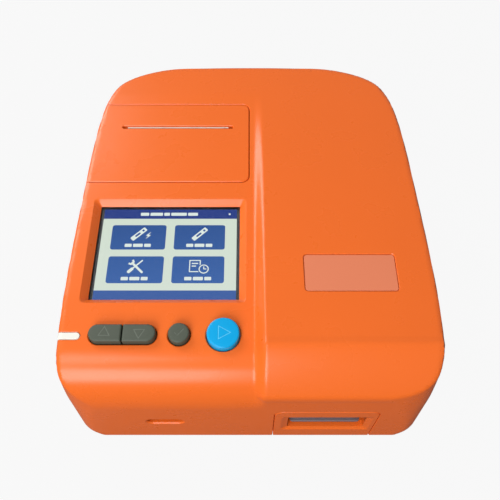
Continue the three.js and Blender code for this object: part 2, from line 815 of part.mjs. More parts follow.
piece(panel, "up_key", pillHalf(-1), keyRubber);
piece(panel, "down_key", pillHalf(1), keyRubber);
for (const [name, [u, radius]] of Object.entries(roundKeys)) {
  const outline = (by) => circle([u, keyRowV], radius + by, 2 * roundSides);
  piece(panel, name, keyShape(outline), name === "start_key" ? startPlastic : keyRubber);
}
const postHoles = keyPostPlaces.map((place) => rod("z", place, keyPostRadius + run, [-overrun, 0], roundSides / 2));
const membraneBlock = block(membraneSpan, membraneV, [membraneTop - membraneThickness, membraneTop]);
piece(panel, "keypad_membrane", cut(membraneBlock, ...postHoles), footRubber);
piece(panel, "keypad_board", block(
  keyBoardSpan, membraneV, [keyBoardTop - boardThickness, keyBoardTop],
), circuitBoard);

// Light bar, name plate, printer cover and its hinge pin
piece(part, "light_bar", cut(common(outerBody, lightBarZone(0)), innerBody), glowPlastic);
const plateBottom = fit - plateRecess;
piece(lobeTop, "name_plate", slab("z", plateOutline(0), [plateBottom, plateBottom + plateThickness]), labelFilm);

function printerCover() {
  const plate = cut(common(outerBody, coverZone(0)), bodySolid(coverWall, -overrun));
  const slotRun = grow([slotV, slotV], slotWidth / 2);
  const slot = slab("z", evenRectangle([slotLeft, slotRight], slotRun, slotWidth / 2), [-2 * coverWall, overrun]);
  return cut(plate, hingeBore, onPanel(slot));
}

piece(part, "printer_cover", printerCover(), orangePlastic);
piece(panel, "cover_hinge_pin", rod("y", hingeCentre, hingePinRadius, hingeSpan, roundSides / 2), steel);

// Printer: roll, platen and gear train lie along X, so their outlines are in (v, n)
const frameTop = -coverWall - run;
const frameBottom = frameTop - frameDepth;
const frameSpan = [frameLeft, frameRight];
const frameRun = [coverFront, coverRear];
const cheekSpan = [cheekLeft, cheekLeft + cheekThickness];
const bayMiddle = (cheekSpan[1] + frameRight - frameWall) / 2;
const paperSpan = grow([bayMiddle, bayMiddle], paperWidth / 2);
const platenV = slotV - paperThickness / 2 - fit - platenRadius;
const platenCentre = [platenV, platenN];
const rollCentre = [rollV, rollN];
const trainStep = (from, distance) => [
  from[0] + distance * Math.cos(radians(gearTrainSlope)),
  from[1] + distance * Math.sin(radians(gearTrainSlope)),
];
const gearDistance = (a, b) => ((a + b) * gearModule) / 2;
const idlerCentre = trainStep(platenCentre, gearDistance(platenTeeth, idlerTeeth));
const motorCentre = trainStep(idlerCentre, gearDistance(idlerTeeth, printerPinionTeeth));
const gearSpan = [cheekLeft - gearCheekGap - gearWidth, cheekLeft - gearCheekGap];

function gearOutline([a, b], teeth, toothAt) {
  // Straight-flanked teeth, one of them centred on the angle toothAt in degrees
  const pitch = (teeth * gearModule) / 2;
  const step = (2 * Math.PI) / teeth;
  const [tip, root] = [pitch + tipShare * gearModule, pitch - rootShare * gearModule];
  const corners = [[root, -rootHalfShare], [tip, -tipHalfShare], [tip, tipHalfShare], [root, rootHalfShare]];
  return Array.from({ length: teeth }, (_, tooth) => corners.map(([radius, share]) => {
    const angle = radians(toothAt) + (tooth + share) * step;
    return [a + radius * Math.cos(angle), b + radius * Math.sin(angle)];
  })).flat();
}

const halfTooth = (teeth) => 180 / teeth;
const idlerToothAt = gearTrainSlope + 180 + halfTooth(idlerTeeth);
const turnsToPinion = Math.round(((gearTrainSlope - idlerToothAt) * idlerTeeth) / 360);
const idlerOffset = gearTrainSlope - (idlerToothAt + (turnsToPinion * 360) / idlerTeeth);
const pinionToothAt = gearTrainSlope + 180 + halfTooth(printerPinionTeeth)
  + (idlerOffset * idlerTeeth) / printerPinionTeeth;

function printerFrame() {
  const outer = block(frameSpan, frameRun, [frameBottom, frameTop]);
  const inner = block(grow(frameSpan, -frameWall), grow(frameRun, -frameWall), [frameBottom + frameWall, overrun]);
  const cheek = block(cheekSpan, frameRun, [frameBottom, frameTop]);
  const flangeSpan = grow(frameSpan, -flangeInset);
  const flangeRise = [frameTop - frameFlangeThickness, frameTop];
  const padRise = [flangeRise[0], -wall - fit];
  const padGap = 2 * run;
  const [front, rear] = frameRun;
  const flanges = [
    block(flangeSpan, [front - frameFlange, front + frameWall], flangeRise),
    block(flangeSpan, [rear - frameWall, rear + frameFlange], flangeRise),
    block(flangeSpan, [front - frameFlange, front - padGap], padRise),
    block(flangeSpan, [rear + padGap, rear + frameFlange], padRise),
  ];
  const slotHalf = spindlePinRadius + run;
  const pinSpan = [cheekLeft - run, frameRight + run];
  const leftSpan = [frameLeft - run, cheekSpan[1] + run];
  return cut(
    join(cut(outer, inner), cheek, ...flanges),
    rod("x", rollCentre, slotHalf, pinSpan),
    block(pinSpan, grow([rollV, rollV], slotHalf), [rollN, overrun]),
    rod("x", platenCentre, platenShaftRadius + fit, pinSpan),
    rod("x", idlerCentre, idlerPinRadius + fit, leftSpan, roundSides / 2),
    rod("x", motorCentre, motorShaftRadius + fit, [cheekLeft - run, cheekSpan[1] + run], roundSides / 2),
  );
}

function paperRoute() {
  // Leaves the roll on a tangent, bends round the platen and rises through the slot
  const clear = fit + paperThickness / 2;
  const [reach, rise] = [platenV - rollV, platenN - rollN];
  const apart = Math.hypot(reach, rise);
  const away = Math.atan2(rise, reach) - Math.acos((rollRadius - platenRadius) / apart);
  const onCircle = ([a, b], radius, angle) => [a + radius * Math.cos(angle), b + radius * Math.sin(angle)];
  const bend = Array.from({ length: bendSteps + 1 }, (_, i) => (
    onCircle(platenCentre, platenRadius + clear, away * (1 - i / bendSteps))
  ));
  return [onCircle(rollCentre, rollRadius + clear, away), ...bend, [slotV, -paperTipDrop]];
}

function headSpring() {
  const front = slotV + paperThickness / 2 + fit + headThickness + fit + springThickness;
  const rear = coverRear - frameWall - fit - springThickness;
  const route = springShares.map(([across, up]) => [
    THREE.MathUtils.lerp(front, rear, across),
    platenN + (up * headHeight) / 2,
  ]);
  return slab("x", band(route, springThickness), grow([bayMiddle, bayMiddle], ribbonWidth));
}

const headRun = [slotV + paperThickness / 2 + fit, slotV + paperThickness / 2 + fit + headThickness];
const headRise = grow([platenN, platenN], headHeight / 2);
const hollow = (centre, radius, bore, span, sides) => cut(
  rod("x", centre, radius, span, sides),
  rod("x", centre, bore, grow(span, overrun), roundSides),
);
const gear = (centre, teeth, toothAt) => slab("x", gearOutline(centre, teeth, toothAt), gearSpan);
const gearHole = (centre, radius) => rod("x", centre, radius + fit, grow(gearSpan, overrun), roundSides / 2);
const motorSpan = [cheekSpan[1] + fit, cheekSpan[1] + fit + printerMotorLength];
const spindle = join(
  rod("x", rollCentre, rollCoreRadius - fit, paperSpan),
  rod("x", rollCentre, spindlePinRadius, [cheekLeft, frameRight]),
);
const pinionShaft = rod("x", motorCentre, motorShaftRadius, [gearSpan[0], cheekSpan[1]], roundSides / 2);

piece(panel, "printer_frame", printerFrame(), darkPlastic);
piece(panel, "paper_roll", hollow(rollCentre, rollRadius, rollCoreRadius, paperSpan, 2 * roundSides), paper);
piece(panel, "paper_spindle", spindle, greyPlastic);
piece(panel, "platen_roller", hollow(platenCentre, platenRadius, platenShaftRadius + fit, paperSpan), footRubber);
piece(panel, "platen_shaft", rod("x", platenCentre, platenShaftRadius, [gearSpan[0], frameRight - fit]), steel);
piece(panel, "platen_gear", cut(
  gear(platenCentre, platenTeeth, gearTrainSlope), gearHole(platenCentre, platenShaftRadius),
), whitePlastic);
piece(panel, "idler_gear", cut(
  gear(idlerCentre, idlerTeeth, idlerToothAt), gearHole(idlerCentre, idlerPinRadius),
), whitePlastic);
piece(panel, "idler_pin", rod("x", idlerCentre, idlerPinRadius, [frameLeft + fit, cheekSpan[1]], roundSides / 2), steel);
piece(panel, "motor_pinion", join(gear(motorCentre, printerPinionTeeth, pinionToothAt), pinionShaft), whitePlastic);
piece(panel, "printer_motor", rod("x", motorCentre, printerMotorRadius, motorSpan), steel);
piece(panel, "thermal_head", block(paperSpan, headRun, headRise), greyPlastic);
piece(panel, "head_spring", headSpring(), steel);
piece(panel, "paper_strip", slab("x", band(paperRoute(), paperThickness), paperSpan), paper);

// Card tray, its guide and its drive
const portMiddle = (mouthLeft + mouthRight) / 2;
const trayBottom = railHeight + fit;
const trayTop = trayBottom + trayHeight;
const trayFront = mouthFace + traySetback;
const trayRear = trayFront + trayLength;
const traySpan = grow([portMiddle, portMiddle], trayWidth / 2);
const trayRight = traySpan[1];
const rackPitchX = trayRight - tipShare * gearModule;
const rackBack = rackPitchX - rootShare * gearModule - rackBacking;
const rackRise = [trayBottom + rackLift, trayBottom + rackLift + rackWidth];
const rackStep = Math.PI * gearModule;
const pinionRadius = (pinionTeeth * gearModule) / 2;
const pinionCentre = [rackPitchX + pinionRadius, trayFront + pinionFromFront];
const motorTop = trayBottom - 2 * fit;
const cardWell = block(
  grow([portMiddle, portMiddle], cardWidth / 2),
  [trayFront + trayFloor, trayFront + trayFloor + cardLength],
  [trayBottom + trayFloor, trayTop + overrun],
);
const rackGroove = block([rackBack, trayRight + overrun], [trayFront, trayRear + overrun], grow(rackRise, fit));

function trayRack() {
  // Teeth face right, with a space opposite the middle of the pinion
  const first = -Math.floor((pinionCentre[1] - trayFront) / rackStep) + 1;
  const last = Math.floor((trayRear - pinionCentre[1]) / rackStep);
  const tip = trayRight;
  const root = rackBack + rackBacking;
  const teeth = Array.from({ length: last - first }, (_, i) => pinionCentre[1] + (first + i + 0.5) * rackStep);
  const profile = teeth.flatMap((y) => [
    [root, y - rootHalfShare * rackStep],
    [tip, y - tipHalfShare * rackStep],
    [tip, y + tipHalfShare * rackStep],
    [root, y + rootHalfShare * rackStep],
  ]);
  const ends = [[rackBack, teeth.at(-1) + rackStep / 2], [rackBack, teeth[0] - rackStep / 2]];
  return slab("z", [...profile, ...ends], rackRise);
}

function trayGuide() {
  const inner = grow(traySpan, run);
  const outer = grow(inner, railWall);
  const front = mouthFace + tunnelDepth + fit;
  const along = [front, front + guideLength];
  const sides = [[outer[0], inner[0]], [inner[1], outer[1]]].map((span) => block(span, along, [railBase, railTop]));
  const ledges = [[inner[0], inner[0] + railWidth], [inner[1] - railWidth, inner[1]]].map((span) => (
    block(span, along, [railBase, railHeight])
  ));
  const lipRise = [trayTop + run, trayTop + run + railLipThickness];
  const lips = [[outer[0], inner[0] + railLip], [inner[1] - railLip, outer[1]]].map((span) => (
    block(span, along, lipRise)
  ));
  const plate = block(outer, along, [railBase, railBase + railPlate]);
  const legs = [outer[0], outer[1] - guideLeg].flatMap((x) => [along[0], along[1] - guideLeg].map((y) => (
    block([x, x + guideLeg], [y, y + guideLeg], [floorTop, railBase + railPlate])
  )));
  const reach = pinionRadius + gearModule + run;
  const [pinionX, pinionY] = pinionCentre;
  const window = block([inner[1] - fit, pinionX], grow([pinionY, pinionY], reach), [railHeight, trayTop]);
  return cut(join(plate, ...sides, ...ledges, ...lips, ...legs), window);
}

const pinionOutline = gearOutline(pinionCentre, pinionTeeth, 180);
const pinionBore = rod("z", pinionCentre, driveShaftRadius + fit, [0, overrun], roundSides / 2);
const cardTray = cut(block(traySpan, [trayFront, trayRear], [trayBottom, trayTop]), cardWell, rackGroove);
piece(part, "tray_guide", trayGuide(), darkPlastic);
piece(part, "card_tray", cardTray, greyPlastic);
piece(part, "tray_rack", trayRack(), whitePlastic);
piece(part, "tray_pinion", cut(slab("z", pinionOutline, rackRise), pinionBore), whitePlastic);
piece(part, "tray_drive_shaft", rod(
  "z", pinionCentre, driveShaftRadius, [motorTop + fit, rackRise[1]], roundSides / 2,
), steel);
piece(part, "tray_motor", rod("z", pinionCentre, trayMotorRadius, [floorTop, motorTop]), steel);
piece(part, "home_sensor", block(
  grow([portMiddle, portMiddle], sensorLength / 2),
  [trayRear + run, trayRear + run + sensorLength],
  [railBase + railPlate, railBase + railPlate + sensorHeight],
), darkPlastic);

// Optical head on the guide
const headSpan = [headFront, headFront + headLength];
const headMiddle = [portMiddle, headFront + headLength / 2];
const headTop = railTop + headTall;
const bodySpanX = grow([portMiddle, portMiddle], headWidth / 2);
const opticalHead = cut(
  join(
    block(bodySpanX, headSpan, [railTop, headTop]),
    block(grow(traySpan, run + railWall), headSpan, [railTop, railTop + headFlange]),
  ),
  rod("z", headMiddle, headBore, [railTop + headFlange, headTop + overrun]),
  rod("z", headMiddle, headAperture, [0, headTop]),
);
const lensRise = [railTop + headFlange, railTop + headFlange + lensThickness];
piece(part, "optical_head", opticalHead, darkPlastic);
piece(part, "optical_lens", rod("z", headMiddle, headBore - fit, lensRise), lensGlass);
piece(part, "detector_board", block(
  grow(bodySpanX, -detectorMargin), grow(headSpan, -detectorMargin), [headTop, headTop + boardThickness],
), circuitBoard);

// Socket for the code chip behind its slot
function chipSocket() {
  const front = faceY(chipBottom + chipHeight / 2) + chipTunnelDepth + fit;
  const along = [front, front + chipSocketDepth];
  const span = grow(chipSpan, chipTunnelWall);
  const rise = grow(chipRise, chipTunnelWall);
  const legs = [[span[0], span[0] + chipLeg], [span[1] - chipLeg, span[1]]].map((leg) => (
    block(leg, along, [floorTop, rise[1]])
  ));
  const pocket = block(chipSpan, [front - overrun, along[1] - chipLeg], grow(chipRise, -chipTunnelWall / 2));
  return cut(join(block(span, along, rise), ...legs), pocket);
}

piece(part, "code_chip_socket", chipSocket(), darkPlastic);

// Boards, battery, buzzer and rear ports
const boardTop = boardHeight + boardThickness;
piece(part, "main_board", block(
  [mainBoardLeft, mainBoardRight], [mainBoardFront, mainBoardRear], [boardHeight, boardTop],
), circuitBoard);
piece(part, "shield_can", block(
  grow([shieldX, shieldX], shieldWidth / 2),
  grow([shieldY, shieldY], shieldWidth / 2),
  [boardTop, boardTop + shieldHeight],
), steel);
piece(part, "buzzer", rod("z", [buzzerX, buzzerY], buzzerRadius, [boardTop, boardTop + buzzerHeight]), darkPlastic);
const batteryOutline = evenRectangle(
  [batteryFront, batteryFront + 4 * cellRadius],
  [floorTop, floorTop + 2 * cellRadius],
  cellRadius,
  4,
);
piece(part, "battery_pack", slab("x", batteryOutline, [batteryLeft, batteryLeft + cellLength]), startPlastic);
piece(part, "io_board", block(
  ioBoardSpan, [ioBoardFront, ioBoardRear], [ioBoardHeight, portHeight],
), circuitBoard);

function usbPort() {
  const inside = grow(usbSpan, -usbShell);
  const middle = (usbRise[0] + usbRise[1]) / 2;
  const back = bayFace - usbDepth;
  const tongueRise = grow([middle, middle], usbShell);
  return join(
    cut(
      block(usbSpan, [back, bayFace], usbRise),
      block(inside, [back + 2 * usbShell, bayFace + overrun], grow(usbRise, -usbShell)),
    ),
    block(grow(inside, -usbShell), [back, bayFace - 2 * usbShell], tongueRise),
  );
}

function powerInlet() {
  const back = bayFace - inletDepth;
  const shoulder = bayFace - bayFrame - 2 * fit;
  const centre = [inletX, portAxis];
  return join(
    cut(
      join(
        block(grow([inletX, inletX], inletRadius), [back, shoulder], [portHeight, portAxis + inletRadius]),
        rod("y", centre, inletRadius, [back, bayFace]),
      ),
      rod("y", centre, inletBore, [back + bayFrame, bayFace + overrun]),
    ),
    rod("y", centre, inletPinRadius, [back, bayFace - 2 * inletPinRadius], roundSides / 2),
  );
}

function switchBody() {
  return cut(
    block(switchSpan, [bayFace - switchDepth, bayFace], switchRise),
    block(grow(switchSpan, -switchWall), [bayFace - rockerWell, bayFace + overrun], grow(switchRise, -switchWall)),
  );
}

function powerRocker() {
  // Outline about its pivot, seen from above, tipped to the off side
  const half = switchWidth / 2 - switchWall - 2 * run;
  const outline = [[-half, -rockerDepth / 2], [half, -rockerDepth / 2], [half, rockerFront], [0, rockerFront - rockerDip],
    [-half, rockerFront]];
  const height = switchHeight - 2 * switchWall - 2 * run;
  const shape = slab("z", outline, [-height / 2, height / 2]);
  shape.rotateZ(-radians(rockerThrow));
  return shape.translate(switchX, bayFace - rockerDepth / 2, portAxis);
}

piece(part, "usb_port", usbPort(), moduleMetal);
piece(part, "dc_inlet", powerInlet(), darkPlastic);
piece(part, "switch_body", switchBody(), darkPlastic);
piece(part, "power_rocker", powerRocker(), darkPlastic);

export default part;
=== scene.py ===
# %% [markdown]
# A desk-top reader for assay cards, dressed around its CAD frame.
# The frame holds every solid of the real unit. This lesson gives each of them the surface, the rounded
# edges and the small marks that the moulded, printed and machined pieces have. Work in a new Blender
# file, cell by cell, and look at what each cell prints.

# %% Load the frame
import math

import bmesh
import bpy
import numpy as np
from mathutils import Matrix, Vector


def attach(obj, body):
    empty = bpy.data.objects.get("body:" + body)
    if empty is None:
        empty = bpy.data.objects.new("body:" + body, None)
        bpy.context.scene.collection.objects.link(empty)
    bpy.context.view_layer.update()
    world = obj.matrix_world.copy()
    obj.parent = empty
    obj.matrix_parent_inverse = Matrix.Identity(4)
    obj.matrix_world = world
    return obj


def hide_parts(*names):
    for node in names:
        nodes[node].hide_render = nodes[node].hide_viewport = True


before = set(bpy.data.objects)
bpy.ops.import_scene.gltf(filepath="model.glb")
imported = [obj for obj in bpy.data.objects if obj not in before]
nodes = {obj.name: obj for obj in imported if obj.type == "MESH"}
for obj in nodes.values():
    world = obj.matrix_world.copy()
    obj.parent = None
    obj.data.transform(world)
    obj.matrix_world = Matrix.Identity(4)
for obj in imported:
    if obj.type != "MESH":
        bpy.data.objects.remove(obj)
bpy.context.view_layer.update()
scene = bpy.context.scene
scene.view_settings.view_transform = "Standard"

# %% [markdown]
# Two kinds of small helper come first, because every later cell leans on them. One kind puts objects
# into the scene, takes the mesh that modifiers make, and clears scratch objects away. The other builds
# node trees: a node with its settings and inputs in one call, and colours given as they are picked.

# %% Object and node helpers
def place_object(name, data):
    made = bpy.data.objects.new(name, data)
    scene.collection.objects.link(made)
    return made


def made_by_modifiers(holder):
    """A plain mesh of what the object's modifiers make."""
    graph = bpy.context.evaluated_depsgraph_get()
    return bpy.data.meshes.new_from_object(holder.evaluated_get(graph))


def clear_away(items):
    """Scratch objects and their meshes, removed."""
    for item in items:
        used = item.data
        bpy.data.objects.remove(item)
        bpy.data.meshes.remove(used)


def srgb(red, green, blue):
    """A colour given 0 to 255, as the linear values that Blender's sockets hold."""
    def linear(value):
        share = value / 255
        return share / 12.92 if share <= 0.04045 else ((share + 0.055) / 1.055) ** 2.4
    return (linear(red), linear(green), linear(blue), 1)


def set_inputs(made, values):
    for key, value in values.items():
        made.inputs[key].default_value = value


def new_material(name):
    """A material, its tree and the Principled BSDF that Blender puts there."""
    made = bpy.data.materials.new(name)
    made.use_nodes = True
    return made, made.node_tree, made.node_tree.nodes["Principled BSDF"]


def add_node(tree, kind, inputs=None, **settings):
    """A node with its settings, and each input given a plain value or the socket that feeds it."""
    made = tree.nodes.new(kind)
    for key, value in settings.items():
        setattr(made, key, value)
    for key, value in (inputs or {}).items():
        if isinstance(value, bpy.types.NodeSocket):
            tree.links.new(value, made.inputs[key])
        else:
            made.inputs[key].default_value = value
    return made


def math_node(tree, operation, first, second):
    return add_node(tree, "ShaderNodeMath", {0: first, 1: second}, operation=operation).outputs[0]


def mix_colors(tree, share, first, second):
    made = add_node(tree, "ShaderNodeMix", {0: share, 6: first, 7: second}, data_type="RGBA")
    return made.outputs[2]


def mix_shaders(tree, share, first, second, end):
    """The two shaders mixed by a share, as what the tree ends in."""
    made = add_node(tree, "ShaderNodeMixShader", {0: share, 1: first.outputs[0], 2: second.outputs[0]})
    tree.links.new(made.outputs[0], tree.nodes[end].inputs["Surface"])


print("helpers ready")

# %% [markdown]
# The camera stands in front of the unit and looks steeply down on it, as a person does who is about to
# use it. Its place was worked out from the unit's own corners, and its lens from how much the far end
# narrows. It is set first, because everything after it is judged through it.

# %% Camera
view_height = 0.326
view_setback = 0.2048
view_aside = 0.0006
view_tilt = 35.6
lens_length = 43.27
sensor_width = 36
nearest_seen = 0.01

camera_data = bpy.data.cameras.new("bench_camera")
camera_data.lens = lens_length
camera_data.sensor_width = sensor_width
camera_data.clip_start = nearest_seen
camera = place_object("bench_camera", camera_data)
camera.location = (view_aside, -view_setback, view_height)
camera.rotation_euler = (math.radians(view_tilt), 0, 0)
scene.camera = camera
print("camera at", tuple(round(x, 3) for x in camera.location))

# %% [markdown]
# A plain studio with three soft lamps. The one at the left and rear draws the long highlight down the
# step, the one overhead the highlight on the roll, and the one in front lights the front face. The
# floor and the world are white to the camera through Light Path, and much darker in reflections, so
# that the satin orange stays deep where the eye meets it at a shallow angle.

# %% Floor, world and lamps
paper_white = (1, 1, 1, 1)
floor_grey = (0.1, 0.1, 0.1, 1)
floor_roughness = 0.9
floor_white_share = 0.93
floor_gloss_share = 0.04
floor_half = 3
world_strength = 0.23
world_gloss_share = 0.35


def seen_directly(tree, gloss_share):
    """A mask that is 1 on rays from the camera and through glass, and a share of that in mirrors."""
    path = tree.nodes.new("ShaderNodeLightPath").outputs
    gloss = math_node(tree, "MULTIPLY", path["Is Glossy Ray"], gloss_share)
    either = math_node(tree, "MAXIMUM", path["Is Camera Ray"], gloss)
    return math_node(tree, "MAXIMUM", either, path["Is Transmission Ray"])


world = bpy.data.worlds.new("studio")
world.use_nodes = True
scene.world = world
world_tree = world.node_tree
dim = world_tree.nodes["Background"]
set_inputs(dim, {"Color": paper_white, "Strength": world_strength})
bright = add_node(world_tree, "ShaderNodeBackground", {"Color": paper_white})
mix_shaders(world_tree, seen_directly(world_tree, world_gloss_share), dim, bright, "World Output")

floor_mesh = bpy.data.meshes.new("bench_top")
floor_corners = [(x * floor_half, y * floor_half, 0) for x, y in ((-1, -1), (1, -1), (1, 1), (-1, 1))]
floor_mesh.from_pydata(floor_corners, [], [(0, 1, 2, 3)])
floor = place_object("bench_top", floor_mesh)
floor_paint, floor_tree, floor_body = new_material("bench_top")
set_inputs(floor_body, {"Base Color": floor_grey, "Roughness": floor_roughness})
floor_glow = add_node(floor_tree, "ShaderNodeEmission", {"Color": paper_white})
floor_seen = seen_directly(floor_tree, floor_gloss_share)
floor_share = math_node(floor_tree, "MULTIPLY", floor_seen, floor_white_share)
mix_shaders(floor_tree, floor_share, floor_body, floor_glow, "Material Output")
floor_mesh.materials.append(floor_paint)

# Each lamp's place and size in metres, and its power in watts
lamps = {
    "rear_left": ((-0.52, 0.5, 0.6), 0.46, 4.2),
    "overhead": ((-0.34, -0.3, 0.82), 0.34, 2.0),
    "front_left": ((-0.32, -0.88, 0.54), 0.56, 8.2),
}
lamp_target = Vector((0, -0.02, 0.05))
for lamp_name, (place, size, power) in lamps.items():
    lamp_data = bpy.data.lights.new(lamp_name, "AREA")
    lamp_data.shape = "SQUARE"
    lamp_data.size = size
    lamp_data.energy = power
    lamp = place_object(lamp_name, lamp_data)
    lamp.location = place
    lamp.rotation_euler = (lamp_target - Vector(place)).to_track_quat("-Z", "Y").to_euler()
print("lamps:", list(lamps))

# %% [markdown]
# Moulded plastic is never one flat colour. The tool leaves a fine spark texture, the gloss drifts a
# little over a large face, and the tone with it. All plastics and rubbers here share one node group for
# that, placed in each material with its own values. Metals share another, whose streaks run along X. The
# patterns read Object coordinates, in metres.

# %% The shared surface groups
def new_group(name, inputs, outputs):
    tree = bpy.data.node_groups.new(name, "ShaderNodeTree")
    for label, kind, value in inputs:
        socket = tree.interface.new_socket(label, in_out="INPUT", socket_type="NodeSocket" + kind)
        socket.default_value = value
    for label, kind in outputs:
        tree.interface.new_socket(label, in_out="OUTPUT", socket_type="NodeSocket" + kind)
    return tree, tree.nodes.new("NodeGroupInput").outputs, tree.nodes.new("NodeGroupOutput").inputs


def object_noise(tree, scale, detail, stretch=None):
    place = tree.nodes.new("ShaderNodeTexCoord").outputs["Object"]
    if stretch:
        place = add_node(tree, "ShaderNodeMapping", {"Vector": place, "Scale": stretch}).outputs[0]
    noise = add_node(tree, "ShaderNodeTexNoise", {"Vector": place, "Scale": scale, "Detail": detail})
    return noise.outputs["Fac"]


black = (0, 0, 0, 1)
near_black = (0.02, 0.02, 0.02, 1)
tone_scale, gloss_scale = 22, 60
streak_scale, streak_stretch = 900, (0.06, 1, 1)
streak_tone, streak_gloss = 0.25, 0.18
group_outputs = [("Color", "Color"), ("Roughness", "Float"), ("Height", "Float")]

skin, given, result = new_group(
    "moulded_skin",
    [("Color", "Color", (0.5, 0.5, 0.5, 1)), ("Shade", "Float", 0.05), ("Scale", "Float", 2200),
     ("Roughness", "Float", 0.5), ("Spread", "Float", 0.06)],
    group_outputs,
)
darker = math_node(skin, "MULTIPLY", object_noise(skin, tone_scale, 3), given["Shade"])
skin.links.new(mix_colors(skin, darker, given["Color"], black), result["Color"])
centred = math_node(skin, "SUBTRACT", object_noise(skin, gloss_scale, 4), 0.5)
gloss_drift = math_node(skin, "MULTIPLY", centred, given["Spread"])
skin.links.new(math_node(skin, "ADD", gloss_drift, given["Roughness"]), result["Roughness"])
skin.links.new(object_noise(skin, given["Scale"], 2), result["Height"])

brush, given, result = new_group(
    "brushed_metal",
    [("Color", "Color", (0.5, 0.5, 0.5, 1)), ("Roughness", "Float", 0.3)],
    group_outputs,
)
streaks = object_noise(brush, streak_scale, 3, streak_stretch)
darker = math_node(brush, "MULTIPLY", streaks, streak_tone)
brush.links.new(mix_colors(brush, darker, given["Color"], near_black), result["Color"])
wander = math_node(brush, "MULTIPLY", streaks, streak_gloss)
brush.links.new(math_node(brush, "ADD", wander, given["Roughness"]), result["Roughness"])
brush.links.new(streaks, result["Height"])
print("groups:", skin.name, brush.name)

# %% [markdown]
# Each finish is then one short call. The orange is a satin ABS with a faint spark texture. The keys are
# matt silicone, the start key a glossier acrylic, the feet a soft rubber. Metals stay fully metallic.

# %% Finishes
finishes = {}


def surface_from(name, tree_group, values, bump, depth=0.00002, **shader):
    """A Principled material whose colour, roughness and bump come from one of the shared groups."""
    made, tree, body = new_material(name)
    source = add_node(tree, "ShaderNodeGroup", values, node_tree=tree_group)
    tree.links.new(source.outputs["Color"], body.inputs["Base Color"])
    tree.links.new(source.outputs["Roughness"], body.inputs["Roughness"])
    bumped = add_node(tree, "ShaderNodeBump", {"Strength": bump, "Distance": depth,
                                               "Height": source.outputs["Height"]})
    tree.links.new(bumped.outputs[0], body.inputs["Normal"])
    set_inputs(body, {key.replace("_", " "): value for key, value in shader.items()})
    finishes[name] = made


def moulded(name, color, roughness, shade=0.06, spread=0.08, scale=2200, bump=0.25, **shader):
    values = {"Color": srgb(*color), "Shade": shade, "Scale": scale, "Roughness": roughness, "Spread": spread}
    surface_from(name, skin, values, bump, **shader)


def metal(name, color, roughness, bump=0.15):
    surface_from(name, brush, {"Color": srgb(*color), "Roughness": roughness}, bump, Metallic=1.0)


moulded("orange_plastic", (240, 109, 36), 0.28, shade=0.05, bump=0.12, Specular_IOR_Level=0.36)
moulded("dark_plastic", (42, 43, 46), 0.55, shade=0.2, bump=0.5)
moulded("grey_plastic", (118, 106, 112), 0.5, shade=0.1, bump=0.4)
moulded("white_plastic", (232, 231, 224), 0.42, shade=0.05)
moulded("key_rubber", (73, 80, 67), 0.6, shade=0.12, scale=3500, bump=0.4)
moulded("start_plastic", (0, 164, 224), 0.34, shade=0.05, bump=0.08, Specular_IOR_Level=0.3)
moulded("foot_rubber", (34, 34, 37), 0.85, shade=0.25, scale=1600, bump=0.7)
moulded("label_film", (226, 128, 90), 0.5, shade=0.05, spread=0.05, scale=1200, bump=0.1)
moulded("paper", (243, 239, 228), 0.88, shade=0.06, scale=1500, bump=0.5)
moulded("flex_film", (176, 108, 40), 0.35, shade=0.15)
moulded("battery_wrap", (24, 112, 190), 0.3, shade=0.08, spread=0.1, bump=0.3, scale=400)
moulded("key_mark", (106, 113, 101), 0.6, shade=0.05)
moulded("start_mark", (90, 202, 242), 0.35, shade=0.03)
moulded("circuit_board", (26, 98, 54), 0.42, shade=0.25, scale=900, bump=0.2)
metal("steel", (196, 198, 202), 0.24)
metal("module_metal", (170, 175, 182), 0.32)
print("finishes:", len(finishes))

# %% [markdown]
# The frame's outer form is built from a handful of lines, and the fine form here follows the same ones:
# a plan outline, a side profile for the flat left panel, one for the raised right lobe, and a smooth step
# between them. All lengths below are millimetres. Meshes are scaled to metres when they are finished.

# %% Lines of the outer form
half_width = 89.6
half_depth = 100.8
rear_height = 92
meet_y = 76.4
nose_height = 64.5
crease_y = -83.3
roll_start_y = -80
roll_foot = 48
roll_pull = 0.6
crease_bulge = 1.5
lobe_tilt = 3
panel_tilt = 5.5
lobe_slope = math.tan(math.radians(lobe_tilt))
panel_slope = math.tan(math.radians(panel_tilt))
face_lean = 3.5
face_slope = math.tan(math.radians(face_lean))
step_foot = 2.3
step_top = 8.1
step_shift = 0.6
skirt_height = 4
overrun = 40
plan_shares = [
    (0, 1), (0.25, 0.998), (0.505, 0.989), (0.625, 0.966), (0.742, 0.926), (0.817, 0.884), (0.867, 0.838),
    (0.905, 0.768), (0.932, 0.689), (0.957, 0.54), (0.974, 0.331), (0.985, 0.064), (0.996, -0.244),
    (1, -0.45), (0.9985, -0.62), (0.99, -0.77), (0.98, -0.865), (0.955, -0.928), (0.905, -0.966),
    (0.83, -0.989), (0.74, -1),
]
full_corner = [(1, -0.45), (1, -0.62), (1, -0.77), (0.998, -0.865), (0.975, -0.928), (0.925, -0.966),
               (0.84, -0.989), (0.74, -1)]
tucked_corner = [(1, -0.45), (0.9975, -0.62), (0.987, -0.77), (0.972, -0.86), (0.944, -0.918),
                 (0.892, -0.957), (0.82, -0.982), (0.74, -1)]


def lobe_height(y):
    return rear_height - lobe_slope * (half_depth - y)


def panel_height(y):
    return lobe_height(meet_y) - panel_slope * (meet_y - y)


def face_y(z):
    return -half_depth + face_slope * (nose_height - z)


